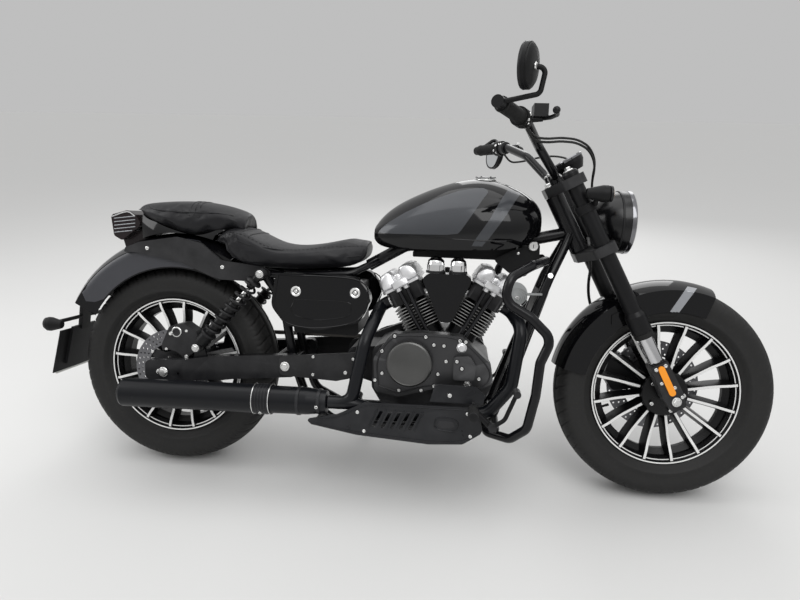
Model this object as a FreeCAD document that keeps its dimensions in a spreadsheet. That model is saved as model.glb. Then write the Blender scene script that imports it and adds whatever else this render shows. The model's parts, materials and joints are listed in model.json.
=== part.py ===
import FreeCAD, Part
import math
import os
import Sketcher
from FreeCAD import Placement, Rotation, Vector

# Cruiser motorcycle, 250 class, parked on its side stand. Millimetres.
# It is modelled upright in its own frame: X forward from the rear axle, Y to the rider's left,
# Z up from the ground. Each finished piece is then leaned on the stand by its Placement.

doc = FreeCAD.newDocument("CruiserMotorcycle")

# Driving dimensions, each written once
dimensions = {
    # stance on the side stand, and where the standing frame has its origin
    "wheelbase": 1508, "lean_angle": 11.35, "steer_at_rest": 2.4, "steering_lock": 38,
    "origin_forward": 718, "origin_left": 215, "tyre_lift": 1.4, "front_axle_drop": 0.6,
    # seats between pieces: rigid parts that rest on each other, and soft pads on what carries them
    "seat_gap": 0.3, "bore_clearance": 0.05,
    # steering and fork, measured along the fork from the front axle
    "rake": 28, "fork_offset": 43, "fork_spacing": 216, "fork_tube_radius": 23.5, "stanchion_radius": 20.5,
    "tube_low": 216, "tube_high": 708, "collar_height": 52, "collar_radius": 29,
    "lower_clamp": 475, "upper_clamp": 684, "clamp_thick": 28, "stem_radius": 14.9, "stem_clearance": 0.1,
    "head_tube_radius": 27, "clamp_wall": 9, "frame_clearance": 60, "carrier_top": 122,
    "carrier_bottom": -26, "carrier_width": 46,
    # wheels
    "front_tyre_radius": 317, "rear_tyre_radius": 316, "front_tyre_width": 130, "rear_tyre_width": 152,
    "tyre_wall": 9, "crown_radius": 71, "bead_gap": 0.2,
    "rim_radius": 217, "rim_flange": 8, "bead_radius": 203, "well_radius": 185, "rim_skin": 6,
    "front_rim_half": 47, "rear_rim_half": 57,
    "hub_radius": 36, "hub_half": 46, "hub_cap_radius": 68, "hub_cap_thick": 7, "axle_radius": 9,
    "axle_clearance": 0.05,
    "front_wheel_turn": 10, "rear_wheel_turn": 15, "spoke_count": 16, "spoke_width": 9, "spoke_depth": 30,
    "front_disc_radius": 140, "rear_disc_radius": 120, "disc_bore": 23, "disc_hat": 10, "disc_thick": 4.5,
    "front_disc_side": 70, "rear_disc_side": 82, "disc_gap": 5,
    "sprocket_radius": 84, "sprocket_side": 92, "sprocket_thick": 7,
    "drive_sprocket_radius": 34, "drive_sprocket_x": 566, "drive_sprocket_z": 372,
    "chain_gap": 2, "chain_depth": 13, "chain_width": 15,
    # frame
    "backbone_radius": 18, "cradle_radius": 14, "rail_radius": 11, "bend_radius": 60,
    "rail_side": 88, "pivot_side": 60, "pivot_x": 385, "pivot_z": 358, "pivot_radius": 8,
    "swingarm_thick": 28, "swingarm_side": 123,
    "spool_x": 44, "spool_z": 312, "spool_radius": 3.4, "spool_depth": 22,
    # engine
    "crank_x": 850, "crank_z": 366, "bank_angle": 28.5, "case_half": 104,
    "bore_radius": 47, "fin_size": 116, "fin_thick": 3.2, "fin_pitch": 9.5, "fin_count": 9,
    "barrel_low": 96, "fin_low": 132, "head_low": 222, "head_high": 272, "cover_high": 330,
    "cover_width": 126, "cover_half": 92, "pushrod_radius": 6.5, "pushrod_side": 88, "pushrod_gap": 26,
    "clutch_x": 757, "clutch_z": 392, "clutch_radius": 66, "case_cover_face": 150,
    "cleaner_inner": 70, "cleaner_face": 134, "cleaner_top": 652, "neck_radius": 24, "manifold_radius": 16,
    # bodywork
    "sheet_metal": 3, "front_fender_radius": 335, "front_fender_half": 74, "fender_side_depth": 88,
    "front_fender_first": 70, "front_fender_last": 168, "stay_thick": 5.7,
    "rear_fender_radius": 408, "rear_fender_half": 96, "rear_fender_x": 20, "rear_fender_z": 330,
    "rear_side_depth": 106, "rear_fender_first": 62, "rear_fender_last": 152,
    "strut_thick": 9, "side_cover_face": 142, "side_cover_thick": 40, "pivot_cover_inner": 139,
    "pivot_cover_thick": 8, "tank_tunnel": 32, "tunnel_top": 792, "box_side": 96, "neck_cover_side": 58,
    "neck_cover_thick": 4, "tray_half": 31, "cap_radius": 33, "cap_seat": 914,
    "tail_lamp_width": 92, "plate_arm_half": 22, "shock_side": 139, "eye_width": 26, "eye_radius": 15,
    "stud_radius": 6,
    # exhaust
    "muffler_radius": 42, "muffler_side": 197, "muffler_z": 264, "muffler_front": 530, "header_radius": 19,
    "belly_face": 223, "belly_wall": 6,
    # guards, pegs and controls
    "guard_radius": 13, "peg_radius": 13, "hanger_radius": 9, "hanger_side": 234, "peg_x": 944,
    "peg_root": 101, "hanger_x": 1011, "hanger_z": 231,
    "bar_radius": 12.7, "grip_radius": 17, "cable_radius": 3.2, "hose_radius": 4.5, "cable_bend": 400,
    "stand_radius": 9, "stand_x": 560, "stand_out": 40, "stand_z": 196, "foot_forward": 602, "foot_left": 232,
    "stand_boss": 14, "stand_pin": 6, "foot_radius": 24, "foot_thick": 7,
    "mirror_radius": 51, "mirror_thick": 14,
}

sheet = doc.addObject("Spreadsheet::Sheet", "Sizes")
for row, (alias, value) in enumerate(dimensions.items(), start=1):
    sheet.set(f"A{row}", alias)
    sheet.set(f"B{row}", str(value))
    sheet.setAlias(f"B{row}", alias)
doc.recompute()


def size(name):
    return float(sheet.get(name))


def cell(name):
    return "Sizes." + name


# Frames of reference

def turn(axis, degrees):
    return Rotation(axis, degrees)


along_x = Vector(1, 0, 0)
along_y = Vector(0, 1, 0)
along_z = Vector(0, 0, 1)
here = Placement()

rake = math.radians(size("rake"))
front_axle = Vector(size("wheelbase"), 0, size("front_tyre_radius") - size("front_axle_drop"))
rear_axle = Vector(0, 0, size("rear_tyre_radius"))
fork_up = Vector(-math.sin(rake), 0, math.cos(rake))
fork_forward = Vector(math.cos(rake), 0, math.sin(rake))

standing = Placement(Vector(-size("origin_forward"), -size("origin_left"), size("tyre_lift")),
                     turn(along_x, -size("lean_angle")))
steering_point = front_axle - fork_forward * size("fork_offset")
steered = standing * Placement(Vector(), turn(fork_up, size("steer_at_rest")), steering_point)
fork_frame = steered * Placement(front_axle, turn(along_y, -size("rake")))
front_wheel_frame = steered * Placement(front_axle, turn(along_y, -size("front_wheel_turn")))
rear_wheel_frame = standing * Placement(rear_axle, turn(along_y, -size("rear_wheel_turn")))


def on_fork(forward, left, up):
    """A point beside the fork, before the steering is turned."""
    return front_axle + fork_forward * forward + fork_up * up + Vector(0, left, 0)


# Drawing helpers

def corner_arc(before, corner, after, radius):
    """Start, middle and end of the arc that rounds one corner of a path."""
    back = (before - corner).normalize()
    ahead = (after - corner).normalize()
    half = back.getAngle(ahead) / 2
    reach = radius / math.tan(half)
    middle = corner + (back + ahead).normalize() * (radius / math.sin(half) - radius)
    return corner + back * reach, middle, corner + ahead * reach


def round_path(points, radii, closed):
    """Edges of a path of straight runs joined by tangent arcs."""
    count = len(points)
    stops = []
    for index, corner in enumerate(points):
        radius = radii[index]
        if radius == 0 or (not closed and index in (0, count - 1)):
            stops.append((corner,))
            continue
        before, after = points[index - 1], points[(index + 1) % count]
        half = (before - corner).getAngle(after - corner) / 2
        room = 0.48 * min((before - corner).Length, (after - corner).Length)
        stops.append(corner_arc(before, corner, after, min(radius, room * math.tan(half))))
    edges = []
    for index, stop in enumerate(stops):
        if len(stop) == 3:
            edges.append(Part.Arc(*stop))
        if index + 1 < count or closed:
            start, end = stop[-1], stops[(index + 1) % count][0]
            if (end - start).Length > 1e-4:
                edges.append(Part.LineSegment(start, end))
    return edges


def wire_of(edges):
    return Part.Wire([edge.toShape() for edge in edges])


def flat_path(corners, radius=0.0):
    """Closed outline from (u, v) or (u, v, own radius) corners, as sketch geometry."""
    points = [Vector(corner[0], corner[1], 0) for corner in corners]
    radii = [corner[2] if len(corner) > 2 else radius for corner in corners]
    return round_path(points, radii, True)


def origin_feature(body, role):
    return [feature for feature in body.Origin.OriginFeatures if feature.Role == role][0]


def add_sketch(body, plane, edges, offset=0.0):
    sketch = body.newObject("Sketcher::SketchObject", body.Name + "Outline")
    sketch.AttachmentSupport = [(origin_feature(body, plane), "")]
    sketch.MapMode = "FlatFace"
    sketch.AttachmentOffset = Placement(Vector(0, 0, offset), Rotation())
    for edge in edges:
        sketch.addGeometry(edge, False)
    return sketch


def add_pad(body, sketch, length_cell, centred=True):
    pad = body.newObject("PartDesign::Pad", body.Name + "Pad")
    pad.Profile = sketch
    pad.Midplane = centred
    pad.setExpression("Length", length_cell)
    return pad


def add_turn(body, sketch, axis, angle=360.0):
    feature = body.newObject("PartDesign::Revolution", body.Name + "Turn")
    feature.Profile = sketch
    feature.ReferenceAxis = (sketch, [axis])
    feature.Angle = angle
    return feature


def new_body(name):
    return doc.addObject("PartDesign::Body", name)


def slab(name, corners, centre_y, length_cell, radius=0.0, holes=()):
    """Plate across the machine: an outline seen from the side, centred on one Y."""
    body = new_body(name)
    edges = flat_path(corners, radius)
    for hole_x, hole_z, hole_radius in holes:
        edges.append(Part.Circle(Vector(hole_x, hole_z, 0), along_z, hole_radius))
    add_pad(body, add_sketch(body, "XZ_Plane", edges, -centre_y), length_cell)
    return body


def turned(name, corners, axis="V_Axis", radius=0.0):
    """Body of revolution: V_Axis turns (radius, along) about Y, H_Axis turns (along, radius) about X."""
    body = new_body(name)
    add_turn(body, add_sketch(body, "XY_Plane", flat_path(corners, radius)), axis)
    return body


def rod(name, start, end, radius_cell):
    cylinder = doc.addObject("Part::Cylinder", name)
    cylinder.setExpression("Radius", radius_cell)
    cylinder.Height = (end - start).Length
    cylinder.Placement = Placement(start, Rotation(along_z, end - start))
    return cylinder


def swept(name, points, radius_cell, bend):
    """Round bar along straight runs joined by tangent arcs."""
    edges = round_path(points, [bend] * len(points), False)
    path = doc.addObject("Part::Feature", name + "Path")
    path.Shape = wire_of(edges)
    ring = doc.addObject("Part::Circle", name + "Ring")
    ring.setExpression("Radius", radius_cell)
    ring.Placement = Placement(points[0], Rotation(along_z, points[1] - points[0]))
    sweep = doc.addObject("Part::Sweep", name)
    sweep.Sections = [ring]
    sweep.Spine = (path, [f"Edge{number + 1}" for number in range(len(edges))])
    sweep.Solid = True
    return sweep


def box(name, low, high):
    block = doc.addObject("Part::Box", name)
    block.Length, block.Width, block.Height = (high[0] - low[0], high[1] - low[1], high[2] - low[2])
    block.Placement = Placement(Vector(*low), Rotation())
    return block


def fused(name, shapes):
    joint = doc.addObject("Part::MultiFuse", name)
    joint.Shapes = shapes
    return joint


def cut(name, base, tool):
    result = doc.addObject("Part::Cut", name)
    result.Base, result.Tool = base, tool
    return result


def grouped(name, shapes):
    """Like solids that do not touch, kept in one piece of the list."""
    group = doc.addObject("Part::Compound", name)
    group.Links = shapes
    return group


def shaped(name, shape):
    feature = doc.addObject("Part::Feature", name)
    feature.Shape = shape
    return feature


finished = []


def finish(piece, name, frame=standing, local=here):
    piece.Label = name
    piece.Placement = frame * local
    finished.append((name, piece))


sides = (("Right", -1), ("Left", 1))


# Wheels

def bead_foot(start, end, bead):
    """Down the bead against the flange, along the rim's seat and up again."""
    foot, toe = Vector(bead, start.y, 0), Vector(bead, end.y, 0)
    return [Part.LineSegment(start, foot), Part.LineSegment(foot, toe), Part.LineSegment(toe, end)]


def tyre_profile(outer, width, rim_half):
    """Half-round tread, bulging walls and beads, closed round the air space."""
    wall = size("tyre_wall")
    crown = size("crown_radius")
    bead = size("bead_radius") + size("bead_gap")
    flange_top = size("rim_radius") + size("bead_gap")
    flange_face = rim_half - size("rim_flange") - size("bead_gap")

    def skin(shrink):
        top = outer - shrink
        radius = crown - shrink
        middle = outer - crown
        shoulder = math.radians(52)
        side = width / 2 - shrink
        start = Vector(flange_top, flange_face - shrink, 0)
        corners = []
        for hand in (-1, 1):
            shoulder_point = Vector(middle + radius * math.cos(shoulder), hand * radius * math.sin(shoulder),
                                    0)
            belly = Vector(outer - 0.52 * (outer - bead), hand * side, 0)
            corners.append((Vector(start.x, hand * start.y, 0), belly, shoulder_point))
        return corners, Vector(top, 0, 0)

    (right, left), top = skin(0)
    (right_in, left_in), top_in = skin(wall)
    edges = [Part.Arc(*right), Part.Arc(right[2], top, left[2]), Part.Arc(left[2], left[1], left[0])]
    edges += bead_foot(left[0], left_in[0], bead)
    edges += [Part.Arc(*left_in), Part.Arc(left_in[2], top_in, right_in[2]),
              Part.Arc(right_in[2], right_in[1], right_in[0])]
    return edges + bead_foot(right_in[0], right[0], bead)


def make_tyre(name, outer, width, rim_half):
    body = new_body(name)
    add_turn(body, add_sketch(body, "XY_Plane", tyre_profile(outer, width, rim_half)), "V_Axis")
    return body


def make_rim(name, half):
    """Cast wheel: hub, one spoke repeated round it, then the barrel that the spokes reach."""
    skin, flange = size("rim_skin"), size("rim_flange")
    outer, bead, well = size("rim_radius"), size("bead_radius"), size("well_radius")
    hub, hub_half = size("hub_radius"), size("hub_half")
    bore = size("axle_radius") + size("axle_clearance")
    body = new_body(name)
    cap, cap_back = size("hub_cap_radius"), -hub_half + size("hub_cap_thick")
    hub_corners = [(bore, -hub_half), (cap - 6, -hub_half, 3), (cap, cap_back - 2, 2), (cap, cap_back + 1, 1),
                   (hub, cap_back + 8, 3), (hub, hub_half, 4), (bore, hub_half)]
    add_turn(body, add_sketch(body, "XY_Plane", flat_path(hub_corners)), "V_Axis")
    depth = size("spoke_depth")
    face = half - flange
    spoke_corners = [(hub - 6, -hub_half + 8), (outer - flange - 2, -half + 2.5),
                     (bead - skin / 2, -face + 2),
                     (bead - skin, -face + depth), (hub - 6, -hub_half + 8 + depth)]
    spoke = add_pad(body, add_sketch(body, "XY_Plane", flat_path(spoke_corners)), cell("spoke_width"))
    pattern = body.newObject("PartDesign::PolarPattern", name + "Spokes")
    pattern.Originals = [spoke]
    pattern.Axis = (origin_feature(body, "Y_Axis"), [""])
    pattern.Angle = 360
    pattern.setExpression("Occurrences", cell("spoke_count"))
    body.Tip = pattern
    doc.recompute()
    step = half - flange
    barrel = [(outer, -half, 2), (outer, -step), (bead, -step), (bead, -step + 22), (well, -step + 30),
              (well, step - 30), (bead, step - 22), (bead, step), (outer, step), (outer, half, 2),
              (outer - flange, half, 2), (bead - skin, step - 2), (bead - skin, step - 24),
              (well - skin, step - 32), (well - skin, -step + 32), (bead - skin, -step + 24),
              (bead - skin, -step + 2), (outer - flange, -half, 2)]
    add_turn(body, add_sketch(body, "XY_Plane", flat_path(barrel)), "V_Axis")
    return body


def hub_flange(name, outer, side, thick):
    """Flat ring carried on a hat that seats on the end of the hub; side is negative on the right."""
    hand = math.copysign(1, side)
    bore, hat = size("disc_bore"), size("disc_bore") + size("disc_hat")
    near, far = abs(side) - thick / 2, abs(side) + thick / 2
    corners = [(bore, size("hub_half")), (hat, size("hub_half")), (hat, near), (outer, near), (outer, far),
               (bore, far)]
    return turned(name, [(radius, hand * along) for radius, along in corners])


wheels = (
    # name, tyre radius, tyre width, rim half width, disc radius, disc side, frame
    ("front", "front_tyre_radius", "front_tyre_width", "front_rim_half", "front_disc_radius",
     size("front_disc_side"), front_wheel_frame),
    ("rear", "rear_tyre_radius", "rear_tyre_width", "rear_rim_half", "rear_disc_radius",
     -size("rear_disc_side"), rear_wheel_frame),
)
for name, tyre_radius, tyre_width, rim_half, disc_radius, disc_side, frame in wheels:
    finish(make_tyre(name + "Tyre", size(tyre_radius), size(tyre_width), size(rim_half)), name + "_tyre",
           frame)
    finish(make_rim(name + "Rim", size(rim_half)), name + "_rim", frame)
    finish(hub_flange(name + "Disc", size(disc_radius), disc_side, size("disc_thick")), name + "_brake_disc",
           frame)


finish(hub_flange("Sprocket", size("sprocket_radius"), size("sprocket_side"), size("sprocket_thick")),
       "rear_sprocket", rear_wheel_frame)


# Frame, swingarm and what stands on the ground

def mirrored(points):
    return [Vector(point.x, -point.y, point.z) for point in points]


stand_pivot = Vector(size("stand_x"), size("rail_side") + size("stand_out"), size("stand_z"))
ground_slope = math.tan(math.radians(size("lean_angle")))
stand_foot = Vector(size("foot_forward"), size("foot_left"), size("foot_left") * ground_slope)
stand_folded = Vector(-0.985, 0.02, 0.17)
stand_axis = (stand_foot - stand_pivot).cross(stand_folded).normalize()


def make_frame():
    """Head tube, backbone, double cradle, seat rails, and the pins and lugs that carry other pieces."""
    side, inset = size("rail_side"), size("pivot_side")
    cradle_radius, rail_radius, gap = size("cradle_radius"), size("rail_radius"), size("seat_gap")
    bend = size("bend_radius")
    low, high = size("lower_clamp") + size("clamp_thick") / 2, size("upper_clamp") - size("clamp_thick") / 2
    head_low = steering_point + fork_up * (low + 1)
    head_high = steering_point + fork_up * (high - 1)
    root = head_low + fork_up * size("frame_clearance")
    tail = size("rear_fender_half") - size("sheet_metal") - rail_radius - gap
    backbone = [root, Vector(1080, 0, 752), Vector(720, 0, 724), Vector(606, 0, 658)]
    cradle = [root + Vector(0, 12, 0), Vector(1150, 58, 648), Vector(1040, 78, 335),
              Vector(1000, side, 212), Vector(900, side, 184), Vector(520, side, 184),
              Vector(428, inset, 240),
              Vector(size("pivot_x"), inset, size("pivot_z")), Vector(352, inset, 540),
              Vector(300, tail, 622)]
    rail = [Vector(640, 6, 676), Vector(560, 70, 634), Vector(300, tail, 622), Vector(60, tail, 658)]
    pieces = [swept("Backbone", backbone, cell("backbone_radius"), bend)]
    for hand, points in (("Left", cradle), ("Right", mirrored(cradle))):
        pieces.append(swept(hand + "Cradle", points, cell("cradle_radius"), bend))
    for hand, points in (("Left", rail), ("Right", mirrored(rail))):
        pieces.append(swept(hand + "Rail", points, cell("rail_radius"), bend))
    cover_seat = size("side_cover_face") - size("side_cover_thick") - gap
    crossings = (
        # name, x, z, half length
        ("FrontCross", 1003, 222, side), ("MiddleCross", 700, 184, side), ("RearCross", 450, 222, inset),
        ("UpperCross", 350, 548, cover_seat), ("SeatCross", 150, 646, tail),
        ("TankBush", 1000, 752, size("tank_tunnel") - gap),
        ("PivotShaft", size("pivot_x"), size("pivot_z"),
         size("pivot_cover_inner") + size("pivot_cover_thick") + 4),
    )
    for name, x, z, reach in crossings:
        radius = "pivot_radius" if name == "PivotShaft" else "rail_radius"
        pieces.append(rod(name, Vector(x, -reach, z), Vector(x, reach, z), cell(radius)))
    pieces.append(rod("HeadTube", head_low, head_high, cell("head_tube_radius")))
    pieces.append(rod("StandLug", stand_pivot - stand_axis * 44, stand_pivot - stand_axis * (12 + gap), "12"))
    pieces.append(rod("StandPin", stand_pivot - stand_axis * 30, stand_pivot + stand_axis * 16,
                      cell("stand_pin")))
    bore = rod("HeadBore", head_low - fork_up * 50, head_high + fork_up * 50,
               cell("stem_radius") + " + " + cell("stem_clearance"))
    return cut("MainFrame", fused("FrameTubes", pieces), bore)


finish(make_frame(), "main_frame")


shock_top = Vector(307, 0, 630)
shock_foot = Vector(108, 0, 398)


def make_swingarm():
    """Two arms with a cross tube, a lug and stud for each shock, and the holes that a paddock stand uses."""
    pivot = (size("pivot_x"), size("pivot_z"))
    axle_z = size("rear_tyre_radius")
    arm = [(pivot[0] + 30, pivot[1] - 34, 18), (pivot[0] + 30, pivot[1] + 34, 18), (150, 372, 30),
           (60, 356, 20), (-62, 348, 16), (-62, 288, 16), (60, 290, 30)]
    clearance = size("bore_clearance")
    holes = [(0, axle_z, size("axle_radius") + clearance),
             (pivot[0], pivot[1], size("pivot_radius") + clearance)]
    reach, thick = size("swingarm_side"), size("swingarm_thick")
    inner, face = reach - thick / 2, reach + thick / 2
    foot_x, foot_z = shock_foot.x, shock_foot.z
    lug = [(foot_x - 24, 340), (foot_x - 12, foot_z + 12, 12), (foot_x + 12, foot_z + 12, 12),
           (foot_x + 24, 340)]
    pieces = []
    for hand, sign in sides:
        pieces.append(slab(hand + "Arm", arm, sign * reach, cell("swingarm_thick"), 0, holes))
        pieces.append(slab(hand + "ShockLug", lug, sign * (inner + 5), "10"))
        pieces.append(rod(hand + "ShockStud", Vector(foot_x, sign * inner, foot_z),
                          Vector(foot_x, sign * (size("shock_side") + size("eye_width") / 2 + 6), foot_z),
                          cell("stud_radius")))
    pieces.append(rod("ArmCross", Vector(340, -reach, pivot[1] + 8), Vector(340, reach, pivot[1] + 8),
                      cell("rail_radius")))
    spools = [rod(hand + "SpoolHole", Vector(size("spool_x"), sign * (face - size("spool_depth")),
                                             size("spool_z")),
                  Vector(size("spool_x"), sign * (face + 10), size("spool_z")), cell("spool_radius"))
              for hand, sign in sides]
    return cut("Swingarm", fused("SwingarmBody", pieces), fused("SpoolHoles", spools))


finish(make_swingarm(), "swingarm")


def make_axle(name, half):
    body = turned(name, [(0, -half), (size("axle_radius"), -half), (size("axle_radius"), half), (0, half)])
    return body


finish(make_axle("RearAxle", size("swingarm_side") + size("swingarm_thick") / 2 + 6), "rear_axle",
       rear_wheel_frame)

def make_shocks():
    """Damper and spring of each side as one turned piece, with an eye at each end."""
    length = (shock_top - shock_foot).Length
    coil_low, coil_high, coils = 0.2 * length, 0.88 * length, 9
    pitch = (coil_high - coil_low) / coils
    spring = []
    for number in range(coils):
        base = coil_low + number * pitch
        spring += [(17, base), (22, base + 0.2 * pitch), (24, base + 0.4 * pitch), (22, base + 0.6 * pitch),
                   (17, base + 0.8 * pitch)]
    corners = [(0, 0), (12, 0), (12, 16), (20, 20), (20, coil_low - 8)] + spring
    corners += [(21, coil_high + 2), (21, coil_high + 8), (12, coil_high + 12), (12, length), (0, length)]
    reach, half = size("shock_side"), size("eye_width") / 2
    units = []
    for hand, sign in sides:
        offset = Vector(0, sign * reach, 0)
        damper = turned(hand + "Damper", corners)
        damper.Placement = Placement(shock_foot + offset, Rotation(along_y, shock_top - shock_foot))
        parts, bores = [damper], []
        for name, at in (("Foot", shock_foot), ("Top", shock_top)):
            near, far = at + Vector(0, sign * (reach - half), 0), at + Vector(0, sign * (reach + half), 0)
            parts.append(rod(hand + name + "Eye", near, far, cell("eye_radius")))
            bores.append(rod(hand + name + "EyeBore", near, far,
                             cell("stud_radius") + " + " + cell("bore_clearance")))
        units.append(cut(hand + "Shock", fused(hand + "ShockUnit", parts), fused(hand + "ShockBores", bores)))
    return grouped("Shocks", units)


finish(make_shocks(), "shock_absorbers")


def make_side_stand():
    """Leg, foot and pivot boss, down and forward on its stop."""
    level = Rotation(along_x, size("lean_angle"))
    upward = level.multVec(along_z)
    leg = rod("StandLeg", stand_pivot, stand_foot + upward * 4, cell("stand_radius"))
    boss = rod("StandBoss", stand_pivot - stand_axis * 12, stand_pivot + stand_axis * 12, cell("stand_boss"))
    pad = doc.addObject("Part::Cylinder", "StandFoot")
    pad.setExpression("Radius", cell("foot_radius"))
    pad.setExpression("Height", cell("foot_thick"))
    drop = size("tyre_lift") / math.cos(math.radians(size("lean_angle")))
    pad.Placement = Placement(stand_foot - upward * drop, level)
    bore = rod("StandBore", stand_pivot - stand_axis * 30, stand_pivot + stand_axis * 30,
               cell("stand_pin") + " + " + cell("bore_clearance"))
    return cut("SideStand", fused("StandParts", [leg, boss, pad]), bore)


finish(make_side_stand(), "side_stand")


# Engine

banks = (("Rear", -1), ("Front", 1))


def bank_frame(sign):
    return Placement(Vector(size("crank_x"), 0, size("crank_z")), turn(along_y, sign * size("bank_angle")))


def make_crankcase():
    """Case with a deck square to each cylinder, the gearbox behind it and the mount on the frame."""
    half = size("case_half")
    rear_deck = bank_frame(-1).multVec(Vector(-62, 0, size("barrel_low")))
    front_deck = bank_frame(1).multVec(Vector(62, 0, size("barrel_low")))
    apex_z = size("crank_z") + size("barrel_low") / math.cos(math.radians(size("bank_angle")))
    outline = [(640, 300, 20), (640, 420, 24), (690, 444, 16), (rear_deck.x, rear_deck.z),
               (size("crank_x"), apex_z),
               (front_deck.x, front_deck.z), (985, 400, 20), (1000, 330, 30), (950, 215, 30), (700, 205, 30)]
    core = slab("CaseCore", outline, 0, "2 * " + cell("case_half"))
    low = [(560, 330, 20), (560, 412, 24), (660, 420), (660, 300)]
    gearbox = slab("Gearbox", low, 0, "150")
    tube_top = 184 + size("rail_radius") + size("seat_gap")
    mount = slab("EngineMount", [(686, tube_top), (714, tube_top), (722, 214), (678, 214)], 0, "60")
    drive = Vector(size("drive_sprocket_x"), size("sprocket_side"), size("drive_sprocket_z"))
    shaft = rod("OutputShaft", drive - Vector(0, 24, 0), drive + Vector(0, 8, 0), "14")
    teeth = rod("DriveSprocket", drive - Vector(0, 3.5, 0), drive + Vector(0, 3.5, 0),
                cell("drive_sprocket_radius") + " + " + cell("chain_gap") + " - " + cell("seat_gap"))
    return fused("Crankcase", [core, gearbox, mount, shaft, teeth])


finish(make_crankcase(), "crankcase")


def make_clutch_cover():
    """Right cover: a broad lid with a round dished face over the clutch."""
    face, half = size("case_cover_face"), size("case_half")
    outline = [(655, 300, 18), (650, 400, 30), (700, 472, 24), (790, 482, 20), (905, 476, 24), (990, 400, 40),
               (1000, 345, 20), (940, 312, 20), (830, 318, 20), (728, 288, 20)]
    body = slab("ClutchCover", outline, -(half + face) / 2, str(face - half))
    x, z, radius = size("clutch_x"), size("clutch_z"), size("clutch_radius")
    disc = turned("ClutchDome", [(0, 0), (radius, 0), (radius, 20, 3), (radius - 8, 27, 3), (radius - 12, 24),
                                 (radius - 26, 24), (radius - 30, 27), (0, 27)])
    disc.Placement = Placement(Vector(x, -face, z), turn(along_x, 180))
    pump = slab("PumpBlock", [(884, 352, 6), (884, 420, 10), (930, 424, 10), (948, 396, 8), (944, 352, 8)],
                -(face + 6), "20")
    return fused("ClutchSide", [body, disc, pump])


finish(make_clutch_cover(), "clutch_cover")


def make_generator_cover():
    face, half = size("case_cover_face"), size("case_half")
    outline = [(600, 330, 20), (600, 420, 24), (700, 462, 24), (920, 466, 30), (985, 400, 40), (960, 300, 30),
               (700, 280, 30)]
    body = slab("GeneratorCover", outline, (half + face - 14) / 2, str(face - 14 - half))
    dome = turned("GeneratorDome", [(0, 0), (72, 0), (72, 12, 4), (58, 22, 4), (0, 26)])
    dome.Placement = Placement(Vector(size("crank_x"), face - 14, size("crank_z")), Rotation())
    return fused("GeneratorSide", [body, dome])


finish(make_generator_cover(), "generator_cover")

def rounded_square(half_x, half_y, radius):
    return flat_path([(-half_x, -half_y), (half_x, -half_y), (half_x, half_y), (-half_x, half_y)], radius)


def make_cylinder(name, sign):
    """Barrel, one fin repeated up it, and the head block."""
    body = new_body(name + "Cylinder")
    base = add_sketch(body, "XY_Plane", [Part.Circle(Vector(), along_z, size("bore_radius"))],
                      size("barrel_low"))
    add_pad(body, base, cell("head_low") + " - " + cell("barrel_low") + " + 4", False)
    half = size("fin_size") / 2
    fin = add_pad(body, add_sketch(body, "XY_Plane", rounded_square(half, half + 8, 18), size("fin_low")),
                  cell("fin_thick"), False)
    pattern = body.newObject("PartDesign::LinearPattern", name + "Fins")
    pattern.Originals = [fin]
    pattern.Direction = (origin_feature(body, "Z_Axis"), [""])
    pattern.setExpression("Length", "(" + cell("fin_count") + " - 1) * " + cell("fin_pitch"))
    pattern.setExpression("Occurrences", cell("fin_count"))
    body.Tip = pattern
    doc.recompute()
    head = add_sketch(body, "XY_Plane", rounded_square(half - 6, half + 14, 12), size("head_low"))
    add_pad(body, head, cell("head_high") + " - " + cell("head_low"), False)
    body.Placement = bank_frame(sign)
    return body


finish(grouped("Cylinders", [make_cylinder(name, sign) for name, sign in banks]), "cylinders")


def make_rocker_covers():
    """Covers on the heads, each with its two pushrod tubes down the right side."""
    covers = []
    low, high = size("head_high"), size("cover_high")
    for name, sign in banks:
        half = size("cover_width") / 2
        body = new_body(name + "Cover")
        outline = [(-half, low, 4), (-half, high - 20, 14), (-half + 26, high, 14), (half - 26, high, 14),
                   (half, high - 20, 14), (half, low, 4)]
        add_pad(body, add_sketch(body, "XZ_Plane", flat_path(outline)), "2 * " + cell("cover_half"))
        parts = [body]
        side = size("pushrod_side")
        shelf = box(name + "TubeShelf", (-half + 20, -side - 13, low + 2), (half - 20, -60, low + 24))
        parts.append(shelf)
        for number, place in enumerate((-1, 1)):
            x = place * size("pushrod_gap") / 2
            parts.append(rod(f"{name}Pushrod{number}", Vector(x * 0.6, -side, size("barrel_low") + 0.8),
                             Vector(x, -side, low + 10),
                             cell("pushrod_radius")))
        cover = fused(name + "RockerCover", parts)
        cover.Placement = bank_frame(sign)
        covers.append(cover)
    return grouped("RockerCovers", covers)


finish(make_rocker_covers(), "rocker_covers")


def make_air_cleaner():
    """Case on the right of the vee, its neck, and a manifold stub to each head."""
    top = size("cleaner_top")
    outline = [(800, top, 16), (782, 636, 12), (838, 512, 14), (872, 512, 14), (926, 640, 12), (910, top, 16)]
    inner, face = size("cleaner_inner"), size("cleaner_face")
    case = slab("CleanerCase", outline, -(inner + face) / 2,
                cell("cleaner_face") + " - " + cell("cleaner_inner"))
    meet = Vector(size("crank_x"), 0, 640)
    pieces = [case, rod("CleanerNeck", Vector(meet.x, -inner - 5, 622), meet, cell("neck_radius"))]
    head_half = size("fin_size") / 2 - 6
    for name, sign in banks:
        place = bank_frame(sign)
        seat = place.multVec(Vector(-sign * (head_half + size("seat_gap")), 0, 246))
        end = place.multVec(Vector(-sign * (head_half + 78), 0, 246))
        pieces.append(rod(name + "Manifold", seat, end, cell("manifold_radius")))
    return fused("AirCleaner", pieces)


finish(make_air_cleaner(), "air_cleaner")


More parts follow.
